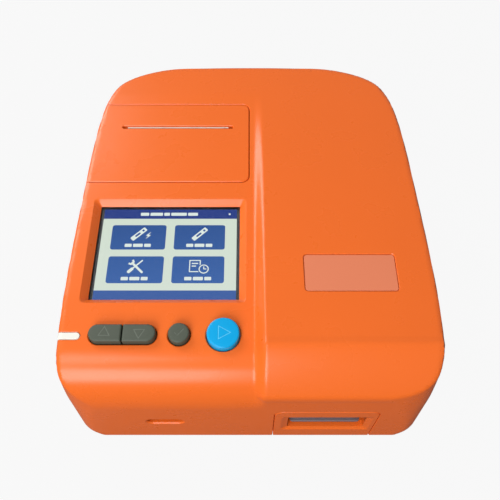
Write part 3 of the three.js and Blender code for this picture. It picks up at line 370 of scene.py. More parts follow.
def plan_curve(steps, corner=None):
    """The plan outline, counter-clockwise from the right front, as a smooth line through its points."""
    shares = plan_shares if corner is None else plan_shares[:-len(corner)] + corner
    right = [np.array((x * half_width, y * half_depth)) for x, y in shares]
    through = [point * (-1, 1) for point in reversed(right[1:])] + right
    chain = [2 * through[0] - through[1], *through, 2 * through[-1] - through[-2]]
    line = []
    for before, start, end, after in zip(chain, chain[1:], chain[2:], chain[3:]):
        gaps = [math.sqrt(np.linalg.norm(b - a)) for a, b in ((before, start), (start, end), (end, after))]
        d0, d1, d2 = gaps
        leave = ((start - before) / d0 - (end - before) / (d0 + d1) + (end - start) / d1) * d1
        arrive = ((end - start) / d1 - (after - start) / (d1 + d2) + (after - end) / d2) * d1
        for t in np.arange(steps) / steps:
            square = (3 * (end - start) - 2 * leave - arrive) * t ** 2
            line.append(start + leave * t + square + (2 * (start - end) + leave + arrive) * t ** 3)
    line = np.array([*line, through[-1]][::-1])
    return np.clip(line, (-half_width, -half_depth), (half_width, half_depth))


def inset_loop(loop, distance):
    """A counter-clockwise loop moved inwards, with mitred corners."""
    loop = np.asarray(loop, dtype=float)
    along = np.roll(loop, -1, axis=0) - loop
    along /= np.linalg.norm(along, axis=1)[:, None]
    before = np.roll(along, 1, axis=0)
    stretch = distance / (1 + (before * along).sum(axis=1))
    both = before + along
    return loop + np.column_stack((-both[:, 1], both[:, 0])) * stretch[:, None]


def side_profile(curve):
    rear = half_depth + overrun
    return [(face_y(-overrun), -overrun), (rear, -overrun), (rear, lobe_height(rear)),
            (meet_y, lobe_height(meet_y)), *curve]


def lobe_profile(steps):
    crease = np.array((crease_y, lobe_height(crease_y)))
    nose = np.array((face_y(nose_height), nose_height))
    across = (nose - crease) / np.linalg.norm(nose - crease)
    pull = (crease + nose) / 2 + np.array((across[1], -across[0])) * 2 * crease_bulge
    shares = np.arange(steps + 1)[:, None] / steps
    return side_profile((1 - shares) ** 2 * crease + 2 * shares * (1 - shares) * pull + shares ** 2 * nose)


def panel_profile(steps):
    start = np.array((roll_start_y, panel_height(roll_start_y)))
    end = np.array((face_y(roll_foot), roll_foot))
    leave = start + np.array((-1, -panel_slope)) * (start[0] - end[0]) * roll_pull
    arrive = end + np.array((-face_slope, 1)) * (start[1] - end[1]) * roll_pull
    t = np.arange(steps + 1)[:, None] / steps
    curve = (1 - t) ** 3 * start + 3 * t * (1 - t) ** 2 * leave + 3 * t ** 2 * (1 - t) * arrive + t ** 3 * end
    return side_profile(curve)


on_panel = Matrix.Translation((0, 0, panel_height(0))) @ Matrix.Rotation(math.radians(panel_tilt), 4, "X")
on_lobe = Matrix.Translation((0, 0, lobe_height(0))) @ Matrix.Rotation(math.radians(lobe_tilt), 4, "X")
print("panel height at the middle:", round(panel_height(0), 2), "mm")

# %% [markdown]
# Two small kits follow. The first makes closed shapes from outlines. The second cuts and joins them
# through the Boolean modifier, copies a solid of the frame, and finishes a mesh as a piece of the scene.
# A solid of the frame is loose triangles in metres, so its copy is joined up before anything is cut.

# %% Closed shapes
def new_mesh(points, faces, name="shape"):
    mesh = bpy.data.meshes.new(name)
    mesh.from_pydata([tuple(point) for point in points], [], faces)
    mesh.update()
    return mesh


def loft(rings):
    """A closed skin through rings of points, each counter-clockwise about the way the rings follow."""
    size = len(rings[0])
    points = [point for ring in rings for point in ring]
    faces = [tuple(reversed(range(size))), tuple(range(len(points) - size, len(points)))]
    for start in range(0, len(points) - size, size):
        for i in range(size):
            j = (i + 1) % size
            faces.append((start + i, start + j, start + size + j, start + size + i))
    return new_mesh(points, faces)


def stack(levels, place=None):
    """A loft along Z. Each level is an outline and its height."""
    mesh = loft([[(x, y, z) for x, y in outline] for outline, z in levels])
    if place:
        mesh.transform(place)
    return mesh


def prism(outline, low, high, place=None):
    return stack([(outline, low), (outline, high)], place)


def rectangle(x_span, y_span):
    return [(x_span[0], y_span[0]), (x_span[1], y_span[0]), (x_span[1], y_span[1]), (x_span[0], y_span[1])]


def grow(span, by):
    return (span[0] - by, span[1] + by)


def block(x_span, y_span, z_span, place=None):
    return prism(rectangle(x_span, y_span), z_span[0], z_span[1], place)


def circle(centre, radius, sides=64):
    angles = (np.arange(sides) + 0.5) / sides * 2 * math.pi
    return [(centre[0] + radius * math.cos(a), centre[1] + radius * math.sin(a)) for a in angles]


def rounded(x_span, y_span, radii, steps=8):
    """A rectangle whose corners have their own radii, counter-clockwise from the lowest coordinates."""
    if not isinstance(radii, (list, tuple)):
        radii = [radii] * 4
    corners = [(x_span[0], y_span[0], 1, 1), (x_span[1], y_span[0], -1, 1),
               (x_span[1], y_span[1], -1, -1), (x_span[0], y_span[1], 1, -1)]
    points = []
    for (x, y, in_x, in_y), radius, start in zip(corners, radii, (180, 270, 0, 90)):
        if radius == 0:
            points.append((x, y))
            continue
        for i in range(steps + 1):
            angle = math.radians(start + 90 * i / steps)
            points.append((x + radius * (in_x + math.cos(angle)), y + radius * (in_y + math.sin(angle))))
    return points


# Turn a shape built along Z so that it lies along X or Y instead
along_x = Matrix(((0, 0, 1, 0), (1, 0, 0, 0), (0, 1, 0, 0), (0, 0, 0, 1)))
along_y = Matrix(((1, 0, 0, 0), (0, 0, 1, 0), (0, -1, 0, 0), (0, 0, 0, 1)))


def body_solid(inset, bottom, steps=24, plan_steps=6, stations=12):
    """The outer form moved inwards, as one closed solid above a bottom height."""
    left = inset_loop(panel_profile(steps), inset)
    right = inset_loop(lobe_profile(steps), inset)
    shares = np.arange(stations + 1) / stations
    blends = [(-half_width - overrun, 0)]
    for share in shares:
        x = step_foot + inset * step_shift + share * (step_top - step_foot)
        blends.append((x, share * share * (3 - 2 * share)))
    blends.append((half_width + overrun, 1))
    rings = [[(x, *point) for point in left * (1 - blend) + right * blend] for x, blend in blends]
    prism_part = prism(inset_loop(plan_curve(plan_steps), inset), bottom, rear_height + overrun)
    return combine(loft(rings), [prism_part], "INTERSECT")


# %% Cutting, copying and finishing
def combine(base, tools, operation="DIFFERENCE"):
    """One mesh out of a base and its tools. The tools are used up."""
    holder = place_object("work", base)
    scratch = [holder]
    for tool in tools:
        scratch.append(place_object("tool", tool))
        modifier = holder.modifiers.new("combine", "BOOLEAN")
        modifier.operation = operation
        modifier.solver = "MANIFOLD"
        modifier.object = scratch[-1]
    made = made_by_modifiers(holder)
    clear_away(scratch)
    if not len(made.polygons):
        raise RuntimeError("a cut left nothing")
    return made


def frame_copy(node):
    """A node's own solid in millimetres, with its corners joined."""
    made = nodes[node].data.copy()
    made.materials.clear()
    made.transform(Matrix.Scale(1000, 4))
    work = bmesh.new()
    work.from_mesh(made)
    bmesh.ops.remove_doubles(work, verts=work.verts, dist=0.001)
    bmesh.ops.dissolve_limit(work, angle_limit=math.radians(0.5), verts=work.verts, edges=work.edges)
    for attribute in list(work.verts.layers.float_vector):
        work.verts.layers.float_vector.remove(attribute)
    work.to_mesh(made)
    work.free()
    for name in ("custom_normal", "sharp_face", "sharp_edge"):
        if name in made.attributes:
            made.attributes.remove(made.attributes[name])
    return made


def smooth_shading(mesh, angle=35):
    """Smooth faces that meet in hard lines where the surface turns by more than the angle."""
    work = bmesh.new()
    work.from_mesh(mesh)
    bmesh.ops.remove_doubles(work, verts=work.verts, dist=0.0005)
    limit = math.radians(angle)
    for face in work.faces:
        face.smooth = True
    for edge in work.edges:
        edge.smooth = len(edge.link_faces) == 2 and edge.calc_face_angle(0) < limit
    work.to_mesh(mesh)
    work.free()


pieces_made = []


def add_piece(name, mesh, body, finish, stands_for=(), like=None, angle=35):
    """A finished piece in metres, on its body, with a material. The like argument is not used."""
    smooth_shading(mesh, angle)
    mesh.transform(Matrix.Scale(0.001, 4))
    names = finish if isinstance(finish, list) else [finish]
    if names is not finish:
        mesh.materials.clear()
    for item in names:
        mesh.materials.append(finishes[item])
    mesh.name = name
    made = place_object(name, mesh)
    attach(made, body)
    if stands_for:
        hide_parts(*stands_for)
    like or names[0]
    pieces_made.append(name)


print("shape kit ready")

# %% [markdown]
# The fine outer form is a field: negative inside, positive outside, and about as large as the distance.
# The plan outline gives one such distance and the side profiles another. Where the two meet, the rim is
# rolled over with an even radius, whatever the angle between the surfaces. The surface is then read off
# a grid and each of its corners is moved exactly onto it.

# %% The outer form as a smooth field
rim_radius_top = 1.8
rim_radius_low = 7.5
rim_change = (62, 40)
profile_rounding = 5
full_span = (82, 46)
tuck_height = 15
corners_end = -0.4 * half_depth
points_at_once = 4000
plan_lines = [plan_curve(12), plan_curve(12, full_corner), plan_curve(12, tucked_corner)]
profile_lines = [inset_loop(line(40), profile_rounding) for line in (panel_profile, lobe_profile)]


def loop_distance(loop, points):
    """Distance of each point to a closed loop, negative inside, and the way in which it grows."""
    start = loop
    along = np.roll(loop, -1, axis=0) - loop
    length = (along ** 2).sum(axis=1)
    outward = np.column_stack((along[:, 1], -along[:, 0])) / np.sqrt(length)[:, None]
    distance = np.empty(len(points))
    slope = np.empty((len(points), 2))
    for low in range(0, len(points), points_at_once):
        part = points[low:low + points_at_once]
        reach = part[:, None] - start
        share = np.clip((reach * along).sum(axis=2) / length, 0, 1)
        gap = reach - share[:, :, None] * along
        square = (gap ** 2).sum(axis=2)
        nearest = square.argmin(axis=1)
        rows = np.arange(len(part))
        size = np.sqrt(square[rows, nearest])
        above = start[:, 1] > part[:, 1, None]
        crosses = above != (np.roll(start[:, 1], -1) > part[:, 1, None])
        rise = np.where(along[:, 1] == 0, 1, along[:, 1])
        crosses &= part[:, 0, None] < start[:, 0] + (part[:, 1, None] - start[:, 1]) * along[:, 0] / rise
        sign = np.where(crosses.sum(axis=1) % 2, -1.0, 1.0)
        towards = gap[rows, nearest] / np.maximum(size, 1e-9)[:, None] * sign[:, None]
        close = size < 1e-5
        towards[close] = outward[nearest[close]]
        distance[low:low + points_at_once] = size * sign
        slope[low:low + points_at_once] = towards
    return distance, slope


def wall_parts(points):
    """The distances to the three plan outlines. Only the front corners differ between them."""
    first = loop_distance(plan_lines[0], points)
    near = points[:, 1] < corners_end
    parts = [first]
    for line in plan_lines[1:]:
        distance, slope = first[0].copy(), first[1].copy()
        distance[near], slope[near] = loop_distance(line, points[near])
        parts.append((distance, slope))
    return parts


def blend_walls(z, walls):
    """The housing is fullest at mid-height at its front corners, and tucks in at the foot."""
    full = np.clip((z - full_span[0]) / (full_span[1] - full_span[0]), 0, 1)
    full = full * full * (3 - 2 * full)
    tuck = np.clip((tuck_height - z) / (tuck_height - skirt_height), 0, 1) ** 2
    shares = (1 - full, full * (1 - tuck), full * tuck)
    distance = sum(share * wall[0] for share, wall in zip(shares, walls))
    slope = sum(share[..., None] * wall[1] for share, wall in zip(shares, walls))
    return distance, slope


def profile_parts(points):
    return [loop_distance(line, points) for line in profile_lines]


def join_fields(x, z, walls, profiles):
    """The form's field and its direction, from the walls' distances and the two profiles' distances."""
    lowness = np.clip((z - rim_change[0]) / (rim_change[1] - rim_change[0]), 0, 1)
    rim_radius = rim_radius_top + (rim_radius_low - rim_radius_top) * lowness * lowness * (3 - 2 * lowness)
    share = np.clip((x - step_foot) / (step_top - step_foot), 0, 1)
    blend = share * share * (3 - 2 * share)
    turn = 6 * share * (1 - share) / (step_top - step_foot)
    (left, left_slope), (right, right_slope) = profiles
    top = left + (right - left) * blend - profile_rounding
    slope = left_slope + (right_slope - left_slope) * blend[..., None]
    normal_top = np.concatenate(((turn * (right - left))[..., None], slope), axis=-1)
    size = np.linalg.norm(normal_top, axis=-1)
    top = top / size
    normal_top = normal_top / size[..., None]
    side, side_slope = blend_walls(z, walls)
    normal_side = np.concatenate((side_slope, np.zeros(side_slope.shape[:-1] + (1,))), axis=-1)
    across = (normal_top * normal_side).sum(axis=-1)
    spread = np.maximum(1 - across ** 2, 1e-6)
    a, b = side + rim_radius, top + rim_radius
    alpha = (a - across * b) / spread
    beta = (b - across * a) / spread
    rolled = (alpha > 0) & (beta > 0) & (spread > 1e-4)
    arc = alpha[..., None] * normal_side + beta[..., None] * normal_top
    reach = np.maximum(np.linalg.norm(arc, axis=-1), 1e-9)
    plain = np.where((side > top)[..., None], normal_side, normal_top)
    value = np.where(rolled, reach - rim_radius, np.maximum(side, top))
    return value, np.where(rolled[..., None], arc / reach[..., None], plain)


def field_at(points):
    return join_fields(points[:, 0], points[:, 2], wall_parts(points[:, :2]), profile_parts(points[:, 1:]))


def read_surface(values, axes):
    """Corners and four-sided faces of the surface where the grid's values change sign."""
    shape = values.shape
    cells = tuple(n - 1 for n in shape)
    total = np.zeros(cells + (3,))
    count = np.zeros(cells)
    grid = np.stack(np.meshgrid(*axes, indexing="ij"), axis=-1)
    for axis in range(3):
        first = tuple(slice(0, -1) if k == axis else slice(None) for k in range(3))
        second = tuple(slice(1, None) if k == axis else slice(None) for k in range(3))
        low, high = values[first], values[second]
        crossing = (low < 0) != (high < 0)
        share = np.where(crossing, low / np.where(low == high, 1, low - high), 0)
        spot = grid[first] + (grid[second] - grid[first]) * share[..., None]
        others = [k for k in range(3) if k != axis]
        for shift in ((0, 0), (0, 1), (1, 0), (1, 1)):
            window = [slice(None)] * 3
            for k, s in zip(others, shift):
                window[k] = slice(s, s + cells[k])
            window = tuple(window)
            total += spot[window] * crossing[window][..., None]
            count += crossing[window]
    active = count > 0
    index = np.full(cells, -1)
    index[active] = np.arange(active.sum())
    points = total[active] / count[active][:, None]
    faces = []
    for axis in range(3):
        u, v = (axis + 1) % 3, (axis + 2) % 3
        first = [slice(1, -1)] * 3
        second = [slice(1, -1)] * 3
        first[axis], second[axis] = slice(0, -1), slice(1, None)
        inside = values[tuple(first)] < 0
        crossing = inside != (values[tuple(second)] < 0)
        spots = np.argwhere(crossing)
        step = np.eye(3, dtype=int)
        base = spots + step[u] + step[v]
        ring = [base - step[u] - step[v], base - step[v], base, base - step[u]]
        quads = np.column_stack([index[tuple(corner.T)] for corner in ring])
        flip = ~inside[crossing]
        quads[flip] = quads[flip][:, ::-1]
        faces.append(quads)
    return points, np.vstack(faces)


print("field ready:", len(plan_lines[0]), "points in plan,", len(profile_lines[0]), "in profile")

# %% Reading the fine form
# The grid is fine where the surface turns: over the step along X, and at the foot and the roll along Z
fine_step = 1.5
close_step, least_step = 0.75, 0.3
over_all, over_step = np.arange(-91.5, 92, fine_step), np.arange(-1, 11, close_step)
axis_x = np.unique(np.round(np.concatenate((over_all, over_step)), 3))
axis_x = axis_x[np.concatenate(([True], np.diff(axis_x) > least_step))]
axis_y = np.arange(-102.5, 103, fine_step)
low_levels, high_levels = np.arange(3, 18, 2), np.arange(44.5, 96, fine_step)
axis_z = np.concatenate(([-3, 0], low_levels, np.arange(20, 43, 4.8), high_levels))
plan_grid = np.stack(np.meshgrid(axis_x, axis_y, indexing="ij"), axis=-1)
side_grid = np.stack(np.meshgrid(axis_y, axis_z, indexing="ij"), axis=-1)
grid_size = (len(axis_x), len(axis_y), len(axis_z))


def spread_out(parts, grid, missing_axis):
    """Flat distances and slopes, repeated along the axis that they don't depend on."""
    fields = []
    for value, slope in parts(grid.reshape(-1, 2)):
        value = np.expand_dims(value.reshape(grid.shape[:2]), missing_axis)
        slope = np.expand_dims(slope.reshape(grid.shape), missing_axis)
        fields.append((np.broadcast_to(value, grid_size), np.broadcast_to(slope, grid_size + (2,))))
    return fields


wall_fields = spread_out(wall_parts, plan_grid, 2)
side_fields = spread_out(profile_parts, side_grid, 0)
x_field = np.broadcast_to(axis_x[:, None, None], grid_size)
z_field = np.broadcast_to(axis_z, grid_size)
values = join_fields(x_field, z_field, wall_fields, side_fields)[0].copy()
values[:, :, 0] = 1
foot_margin = 0.5
settling_rounds = 4
fine_points, fine_faces = read_surface(values, (axis_x, axis_y, axis_z))
for _ in range(settling_rounds):
    free = fine_points[:, 2] > foot_margin
    value, direction = field_at(fine_points[free])
    fine_points[free] -= np.clip(value, -1, 1)[:, None] * direction
fine_form = new_mesh(fine_points, [tuple(int(i) for i in face) for face in fine_faces], "fine_form")
left_over = float(np.abs(field_at(fine_points[fine_points[:, 2] > foot_margin])[0]).max())
print("fine form:", len(fine_points), "corners, farthest off its surface", round(left_over, 4), "mm")

# %% [markdown]
# The housing, the printer cover, the port's surround and the light bar are all cut out of that one form,
# so their surfaces run on from one to the next. Every cut breaks its edge with a small flare, as a
# moulded edge does. What the frame has on the inside, such as bosses, ribs and tunnels, is kept.

# %% Outlines of the openings
cover_front, cover_rear = 13.3, 68.8
cover_corner = 4
cover_flap = 10
key_row = -74.8
pill_span = (-74.1, -42.9)
pill_width = 8.6
pill_middle = -58.5
ok_key_at, ok_key_radius = -32.3, 4.95
start_key_at, start_key_radius = -11.8, 7.65
window_x = (-81.3, -1.4)
window_y = (-58.2, 1.9)
window_depth = 3.2
plate_x = (27, 71.2)
plate_y = (-55, -34.9)
plate_recess = 1.1
port_x = (12.9, 64.2)
port_top = 44
mouth_x, mouth_z = (19.7, 59.1), (17.5, 33)
recess_x, recess_z = (16.4, 61.8), (14.8, 36)
mouth_depth = 3.2
lip_depth = 1.0
chip_x, chip_z, chip_depth = (-51.5, -33), (25.6, 32), 18
bay_x, bay_z = (8, 57), (16, 34)
bay_face = 94.5
slot_x, slot_at, slot_width = (-72, -9), 51.8, 1.9
light_bar_end, light_bar_at, light_bar_width = -78.5, -75.2, 3.4
run = 0.4
fit = 0.3
key_well = -6
shell_wall = 1.6
frame_overlap = 1.3
fill_depth = 0.9
above_skin = 1.5
far_left = -half_width - overrun


def cover_outline(by):
    corner = cover_corner + by
    return rounded((far_left, by), grow((cover_front, cover_rear), by), [0, corner, corner, 0])


def light_bar_outline(by):
    half = light_bar_width / 2 + by
    span = (light_bar_at - half, light_bar_at + half)
    return rounded((far_left, light_bar_end + by), span, [0, half, half, 0])


def pill_outline(by):
    half = pill_width / 2 + by
    return rounded(grow(pill_span, by), (key_row - half, key_row + half), half, 16)


def round_outline(centre, radius):
    return lambda by: circle((centre, key_row), radius + by, 96)


def plate_outline(by):
    return rounded(grow(plate_x, by), grow(plate_y, by), 1.5 + by)


def port_outline(by):
    corner = 5 + by
    return rounded(grow(port_x, by), (-overrun, port_top + by), [0, 0, corner, corner])


def chip_outline(by):
    half = (chip_z[1] - chip_z[0]) / 2 + by
    return rounded(grow(chip_x, by), grow(chip_z, by), half, 12)


def flared_cut(outline, by, low, flare, place):
    """A cutter whose outline widens from just below the surface, so that it also breaks the edge."""
    levels = [(outline(by), low), (outline(by), -flare), (outline(by + flare + above_skin), above_skin)]
    return stack(levels, place)


def face_ring(outline, back):
    """An outline in X and Z, laid on the leaning front face and moved to the rear."""
    return [(x, face_y(z) + back, z) for x, z in outline]


def face_cut(outline, by, depth, flare):
    """The same cutter for the front face."""
    return loft([face_ring(outline(by), depth), face_ring(outline(by), flare),
                 face_ring(outline(by + flare + above_skin), -above_skin)])


def grow_down(span):
    """A span of heights as the second coordinate of an outline that is laid along Y."""
    return (-span[1], -span[0])


def window_cut():
    """A sharp sill below, bevelled sides that meet the panel in soft corners, and a broken edge."""
    def level(height, side, end, corner):
        return rounded(grow(window_x, side), grow(window_y, end), corner, 8), height
    side, end, sill_corner, rim_corner = 3.3, 2.9, 0.2, 2.4
    lip, spread = 0.35, 2.2
    share = lip / window_depth
    levels = [level(-window_depth - 3, -side, -end, sill_corner),
              level(-window_depth, -side, -end, sill_corner),
              level(-lip, -side * share, -end * share, rim_corner),
              level(above_skin, spread, spread, rim_corner + 2)]
    return stack(levels, on_panel)


# %% Upper housing
def below(height):
    return block((-150, 150), (-150, 150), (-60, height))


def core(inset):
    return body_solid(inset, -overrun)


def skin_of(zone, inset):
    """The fine form's skin inside a zone, down to an inset."""
    return combine(combine(fine_body.copy(), [zone], "INTERSECT"), [core(inset)])


def kept_inside(node):
    """What the frame's own solid has behind the skin."""
    return combine(frame_copy(node), [core(frame_overlap)], "INTERSECT")


fine_body = combine(fine_form.copy(), [below(skirt_height)])
outer_shell = combine(fine_body.copy(), [core(shell_wall)])
housing = combine(outer_shell, [kept_inside("upper_housing")], "UNION")
print("shell:", len(housing.polygons), "faces")

window_fill = combine(block(grow(window_x, 2), grow(window_y, 2), (-window_depth, -0.6), on_panel),
                      [core(fill_depth)], "INTERSECT")
housing = combine(housing, [window_fill], "UNION")
bay = prism(rounded(bay_x, grow_down(bay_z), 1.2), bay_face, half_depth + overrun, along_y)
cutters = [
    flared_cut(cover_outline, run, -cover_flap - run, 0.35, on_panel),
    flared_cut(light_bar_outline, fit, key_well - fit, 0.25, on_panel),
    flared_cut(pill_outline, run, key_well, 0.5, on_panel),
    flared_cut(round_outline(ok_key_at, ok_key_radius), run, key_well, 0.5, on_panel),
    flared_cut(round_outline(start_key_at, start_key_radius), run, key_well, 0.5, on_panel),
    flared_cut(plate_outline, fit, -plate_recess, 0.3, on_lobe),
    window_cut(),
    face_cut(port_outline, fit, mouth_depth + 3, 0.35),
    face_cut(chip_outline, 0, chip_depth, 0.7),
    bay,
]
housing = combine(housing, cutters)
add_piece("upper_housing_shell", housing, "body", "orange_plastic", ["upper_housing"])
print("housing:", len(housing.polygons), "faces")

# %% Printer cover, port surround and light bar
def soft_zone(outline, low, soften, place):
    """The zone of a piece, narrowed a little just under the surface so that its edge is broken."""
    return stack([(outline(0), low), (outline(0), -soften), (outline(-soften - 2), 2)], place)


def slot_outline(by):
    half = slot_width / 2 + by
    return rounded(grow(slot_x, by), (slot_at - half, slot_at + half), half, 10)


cover_wall = 3
cover_skin = skin_of(soft_zone(cover_outline, -cover_flap, 0.35, on_panel), cover_wall)
hinge_x, hinge_drop, hinge_bore_radius = -4, 1.5, 0.9
hinge_bore = prism(circle((hinge_x, hinge_drop), hinge_bore_radius, 24), 0, 90, on_panel @ along_y)
cover_skin = combine(cover_skin, [flared_cut(slot_outline, 0, -7, 0.35, on_panel), hinge_bore])
add_piece("printer_cover_shell", cover_skin, "cover", "orange_plastic", ["printer_cover"])

bar_wall = 2.5
bar_skin = skin_of(soft_zone(light_bar_outline, key_well, 0.2, on_panel), bar_wall)
print("cover:", len(cover_skin.polygons), "bar:", len(bar_skin.polygons))

port_zone = loft([face_ring(port_outline(0), mouth_depth + 5), face_ring(port_outline(0), 0.35),
                  face_ring(port_outline(-2.35), -2)])
fill_rim = 1.2
fill_outline = rectangle(grow(recess_x, fill_rim), grow(recess_z, fill_rim))
port_fill = loft([face_ring(fill_outline, mouth_depth + fill_rim), face_ring(fill_outline, 0.4)])
port_fill = combine(port_fill, [core(fill_depth)], "INTERSECT")
port_skin = combine(skin_of(port_zone, shell_wall), [kept_inside("port_bezel"), port_fill], "UNION")


def port_mouth():
    """The dished recess round the mouth, with soft corners, and the mouth itself."""
    def ring(x_span, z_span, corner, back):
        return face_ring(rounded(x_span, z_span, corner, 8), back)
    inward, mouth_reach = 0.1, 22
    middle = [tuple(np.array(recess) * (1 - inward) + np.array(mouth) * inward)
              for recess, mouth in ((recess_x, mouth_x), (recess_z, mouth_z))]
    mouth_corner, flare_width = 1.2, 1.6
    return loft([ring(mouth_x, mouth_z, mouth_corner, mouth_reach),
                 ring(mouth_x, mouth_z, mouth_corner, lip_depth),
                 ring(*middle, mouth_corner * 2, lip_depth * inward),
                 ring(grow(recess_x, flare_width), grow(recess_z, flare_width), 4, -1.2)])


port_skin = combine(port_skin, [port_mouth()])
add_piece("port_surround", port_skin, "body", "orange_plastic", ["port_bezel"])
print("port:", len(port_skin.polygons))

# %% [markdown]
# The keys are silicone caps with a lip that holds them under the panel. Their edges are rolled over and
# their signs are thin engraved lines, filled with a lighter tone: a triangle up, a triangle down, a tick
# to confirm, and a triangle to the right to start.

# %% Keys
key_bottom, key_lip_top, key_top = -4, -2.8, 3.2
key_roll = 0.9
groove_depth, groove_width = 0.22, 0.42
inlay_bottom, inlay_top, inlay_width = 2.9, 3.1, 0.4
pill_half_gap = 0.25


def pill_half_outline(side):
    """One half of the pill. Its straight edge at the split stays put when the outline grows."""
    def outline(by):
        half, corner = pill_width / 2 + by, 0.5
        across = (key_row - half, key_row + half)
        split = pill_middle + side * (pill_half_gap - min(by, 0))
        if side < 0:
            return rounded((pill_span[0] - by, split), across, [half, corner, corner, half], 14)
        return rounded((split, pill_span[1] + by), across, [corner, half, half, corner], 14)
    return outline


def key_shape(outline):
    levels = [(outline(1), key_bottom), (outline(1), key_lip_top), (outline(0), key_lip_top)]
    for turn in np.linspace(0, math.pi / 2, 7):
        levels.append((outline(-key_roll * (1 - math.cos(turn))), key_top - key_roll * (1 - math.sin(turn))))
    return stack(levels, on_panel)


def line_sign(points, width, low, high, closed=True):
    """A sign drawn as one even line, as a solid between two heights over the panel."""
    points = np.array(points, dtype=float)
    if closed:
        outer = prism(inset_loop(points, -width / 2), low, high)
        inner = prism(inset_loop(points, width / 2), low - 1, high + 1)
        made = combine(outer, [inner])
    else:
        sides = []
        for side in (-1, 1):
            for i, point in enumerate(points):
                along = points[min(i + 1, len(points) - 1)] - points[max(i - 1, 0)]
                along /= np.linalg.norm(along)
                sides.append(point + side * np.array((-along[1], along[0])) * width / 2)
        loop = sides[:len(points)] + sides[len(points):][::-1]
        made = prism(loop, low, high)
    made.transform(on_panel)
    return made


def triangle(centre, radius, pointing):
    angles = [math.radians(pointing + turn) for turn in (0, 120, 240)]
    return [(centre + radius * math.cos(a), key_row + radius * math.sin(a)) for a in angles]


tick = [(ok_key_at - 2.1, key_row + 0.1), (ok_key_at - 0.6, key_row - 1.5), (ok_key_at + 2.3, key_row + 1.8)]
key_list = [
    ("up_key", "up", pill_half_outline(-1), triangle(-66.6, 2.9, 90), True, "key_rubber", "key_mark"),
    ("down_key", "down", pill_half_outline(1), triangle(-50.6, 2.9, 270), True, "key_rubber", "key_mark"),
    ("ok_key", "ok", round_outline(ok_key_at, ok_key_radius), tick, False, "key_rubber", "key_mark"),
    ("start_key", "start", round_outline(start_key_at, start_key_radius),
     triangle(start_key_at - 0.3, 3.7, 0), True, "start_plastic", "start_mark"),
]
for name, body, outline, sign, closed, finish, mark in key_list:
    groove = line_sign(sign, groove_width, key_top - groove_depth, key_top + 1, closed)
    cap = combine(key_shape(outline), [groove])
    add_piece(name.replace("_key", "_cap"), cap, body, finish, [name])
    inlay = line_sign(sign, inlay_width, inlay_bottom, inlay_top, closed)
    add_piece(name.replace("_key", "_sign"), inlay, body, mark, like=finish)
print("keys:", [row[0] for row in key_list])

# %% [markdown]
# The display is a lit picture under a cover glass. The picture is generic: a title bar, four tiles with a
# drawing and a caption bar each, and a footer. Each element is a thin layer a few hundredths of a
# millimetre above the one under it, and each colour is a plain emission.

# %% Screen finishes
picture_depth = 0.055
glass_roughness = 0.02


def glowing(name, color, front_color=None):
    """A lit colour, which may change a little towards the front edge of the picture, as backlights do."""
    made, tree, body = new_material(name)
    set_inputs(body, {"Base Color": black, "Specular IOR Level": 0, "Emission Strength": 1,
                      "Emission Color": srgb(*color)})
    if front_color:
        place = tree.nodes.new("ShaderNodeTexCoord").outputs["Object"]
        along = add_node(tree, "ShaderNodeSeparateXYZ", {0: place}).outputs["Y"]
        share = add_node(tree, "ShaderNodeMapRange", {"Value": along, "From Max": -picture_depth})
        drifting = mix_colors(tree, share.outputs[0], srgb(*color), srgb(*front_color))
        tree.links.new(drifting, body.inputs["Emission Color"])
    finishes[name] = made


glowing("screen_pale", (214, 226, 210), (218, 228, 216))
glowing("screen_title", (34, 58, 134), (40, 66, 140))
glowing("screen_footer", (62, 96, 164))
glowing("screen_tile", (34, 76, 142), (62, 104, 174))
glowing("screen_white", (226, 236, 230))
moulded("screen_black", (12, 13, 17), 0.4, shade=0.1)


def clear_glass(name, color, ior):
    """Glass that lets light down to what lies under it, so that no shadow falls on the picture."""
    made, tree, body = new_material(name)
    set_inputs(body, {"Base Color": srgb(*color), "Transmission Weight": 1, "IOR": ior})
    haze = add_node(tree, "ShaderNodeMapRange", {"Value": object_noise(tree, 90, 3),
                                                 "To Min": glass_roughness, "To Max": glass_roughness * 3})
    tree.links.new(haze.outputs[0], body.inputs["Roughness"])
    shadow = tree.nodes.new("ShaderNodeLightPath").outputs["Is Shadow Ray"]
    mix_shaders(tree, shadow, body, tree.nodes.new("ShaderNodeBsdfTransparent"), "Material Output")
    finishes[name] = made


clear_glass("cover_glass", (250, 252, 252), 1.25)
clear_glass("lens_glass", (214, 232, 240), 1.52)

# %% Screen picture
sill_x = (-78, -4.7)
sill_y = (-55.3, -1)
lit_x = (-76.39, -6.31)
lit_y = (-54.55, -1.75)
layer = 0.025
picture_base = -4.97
picture_parts = []


def lit_place(share_x, share_y):
    """A point of the picture, from the left and from the top, in the panel's frame."""
    x = lit_x[0] + share_x * (lit_x[1] - lit_x[0])
    return x, lit_y[1] - share_y * (lit_y[1] - lit_y[0])


def add_layer(outline, level, finish):
    low = picture_base + layer * level
    picture_parts.append((prism(outline, low, low + layer * 0.8), finish))


def lit_area(x_shares, y_shares, corner=0.0):
    (x0, y1), (x1, y0) = lit_place(x_shares[0], y_shares[0]), lit_place(x_shares[1], y_shares[1])
    return rounded((x0, x1), (y0, y1), corner, 6) if corner else rectangle((x0, x1), (y0, y1))


def turned(outline, centre, degrees, scale=1.0):
    c, s = math.cos(math.radians(degrees)) * scale, math.sin(math.radians(degrees)) * scale
    return [(centre[0] + x * c - y * s, centre[1] + x * s + y * c) for x, y in outline]


def bar(centre, length, width, degrees=0, corner=0.25):
    shape = rounded((-length / 2, length / 2), (-width / 2, width / 2), min(corner, width / 2.01), 3)
    return turned(shape, centre, degrees)


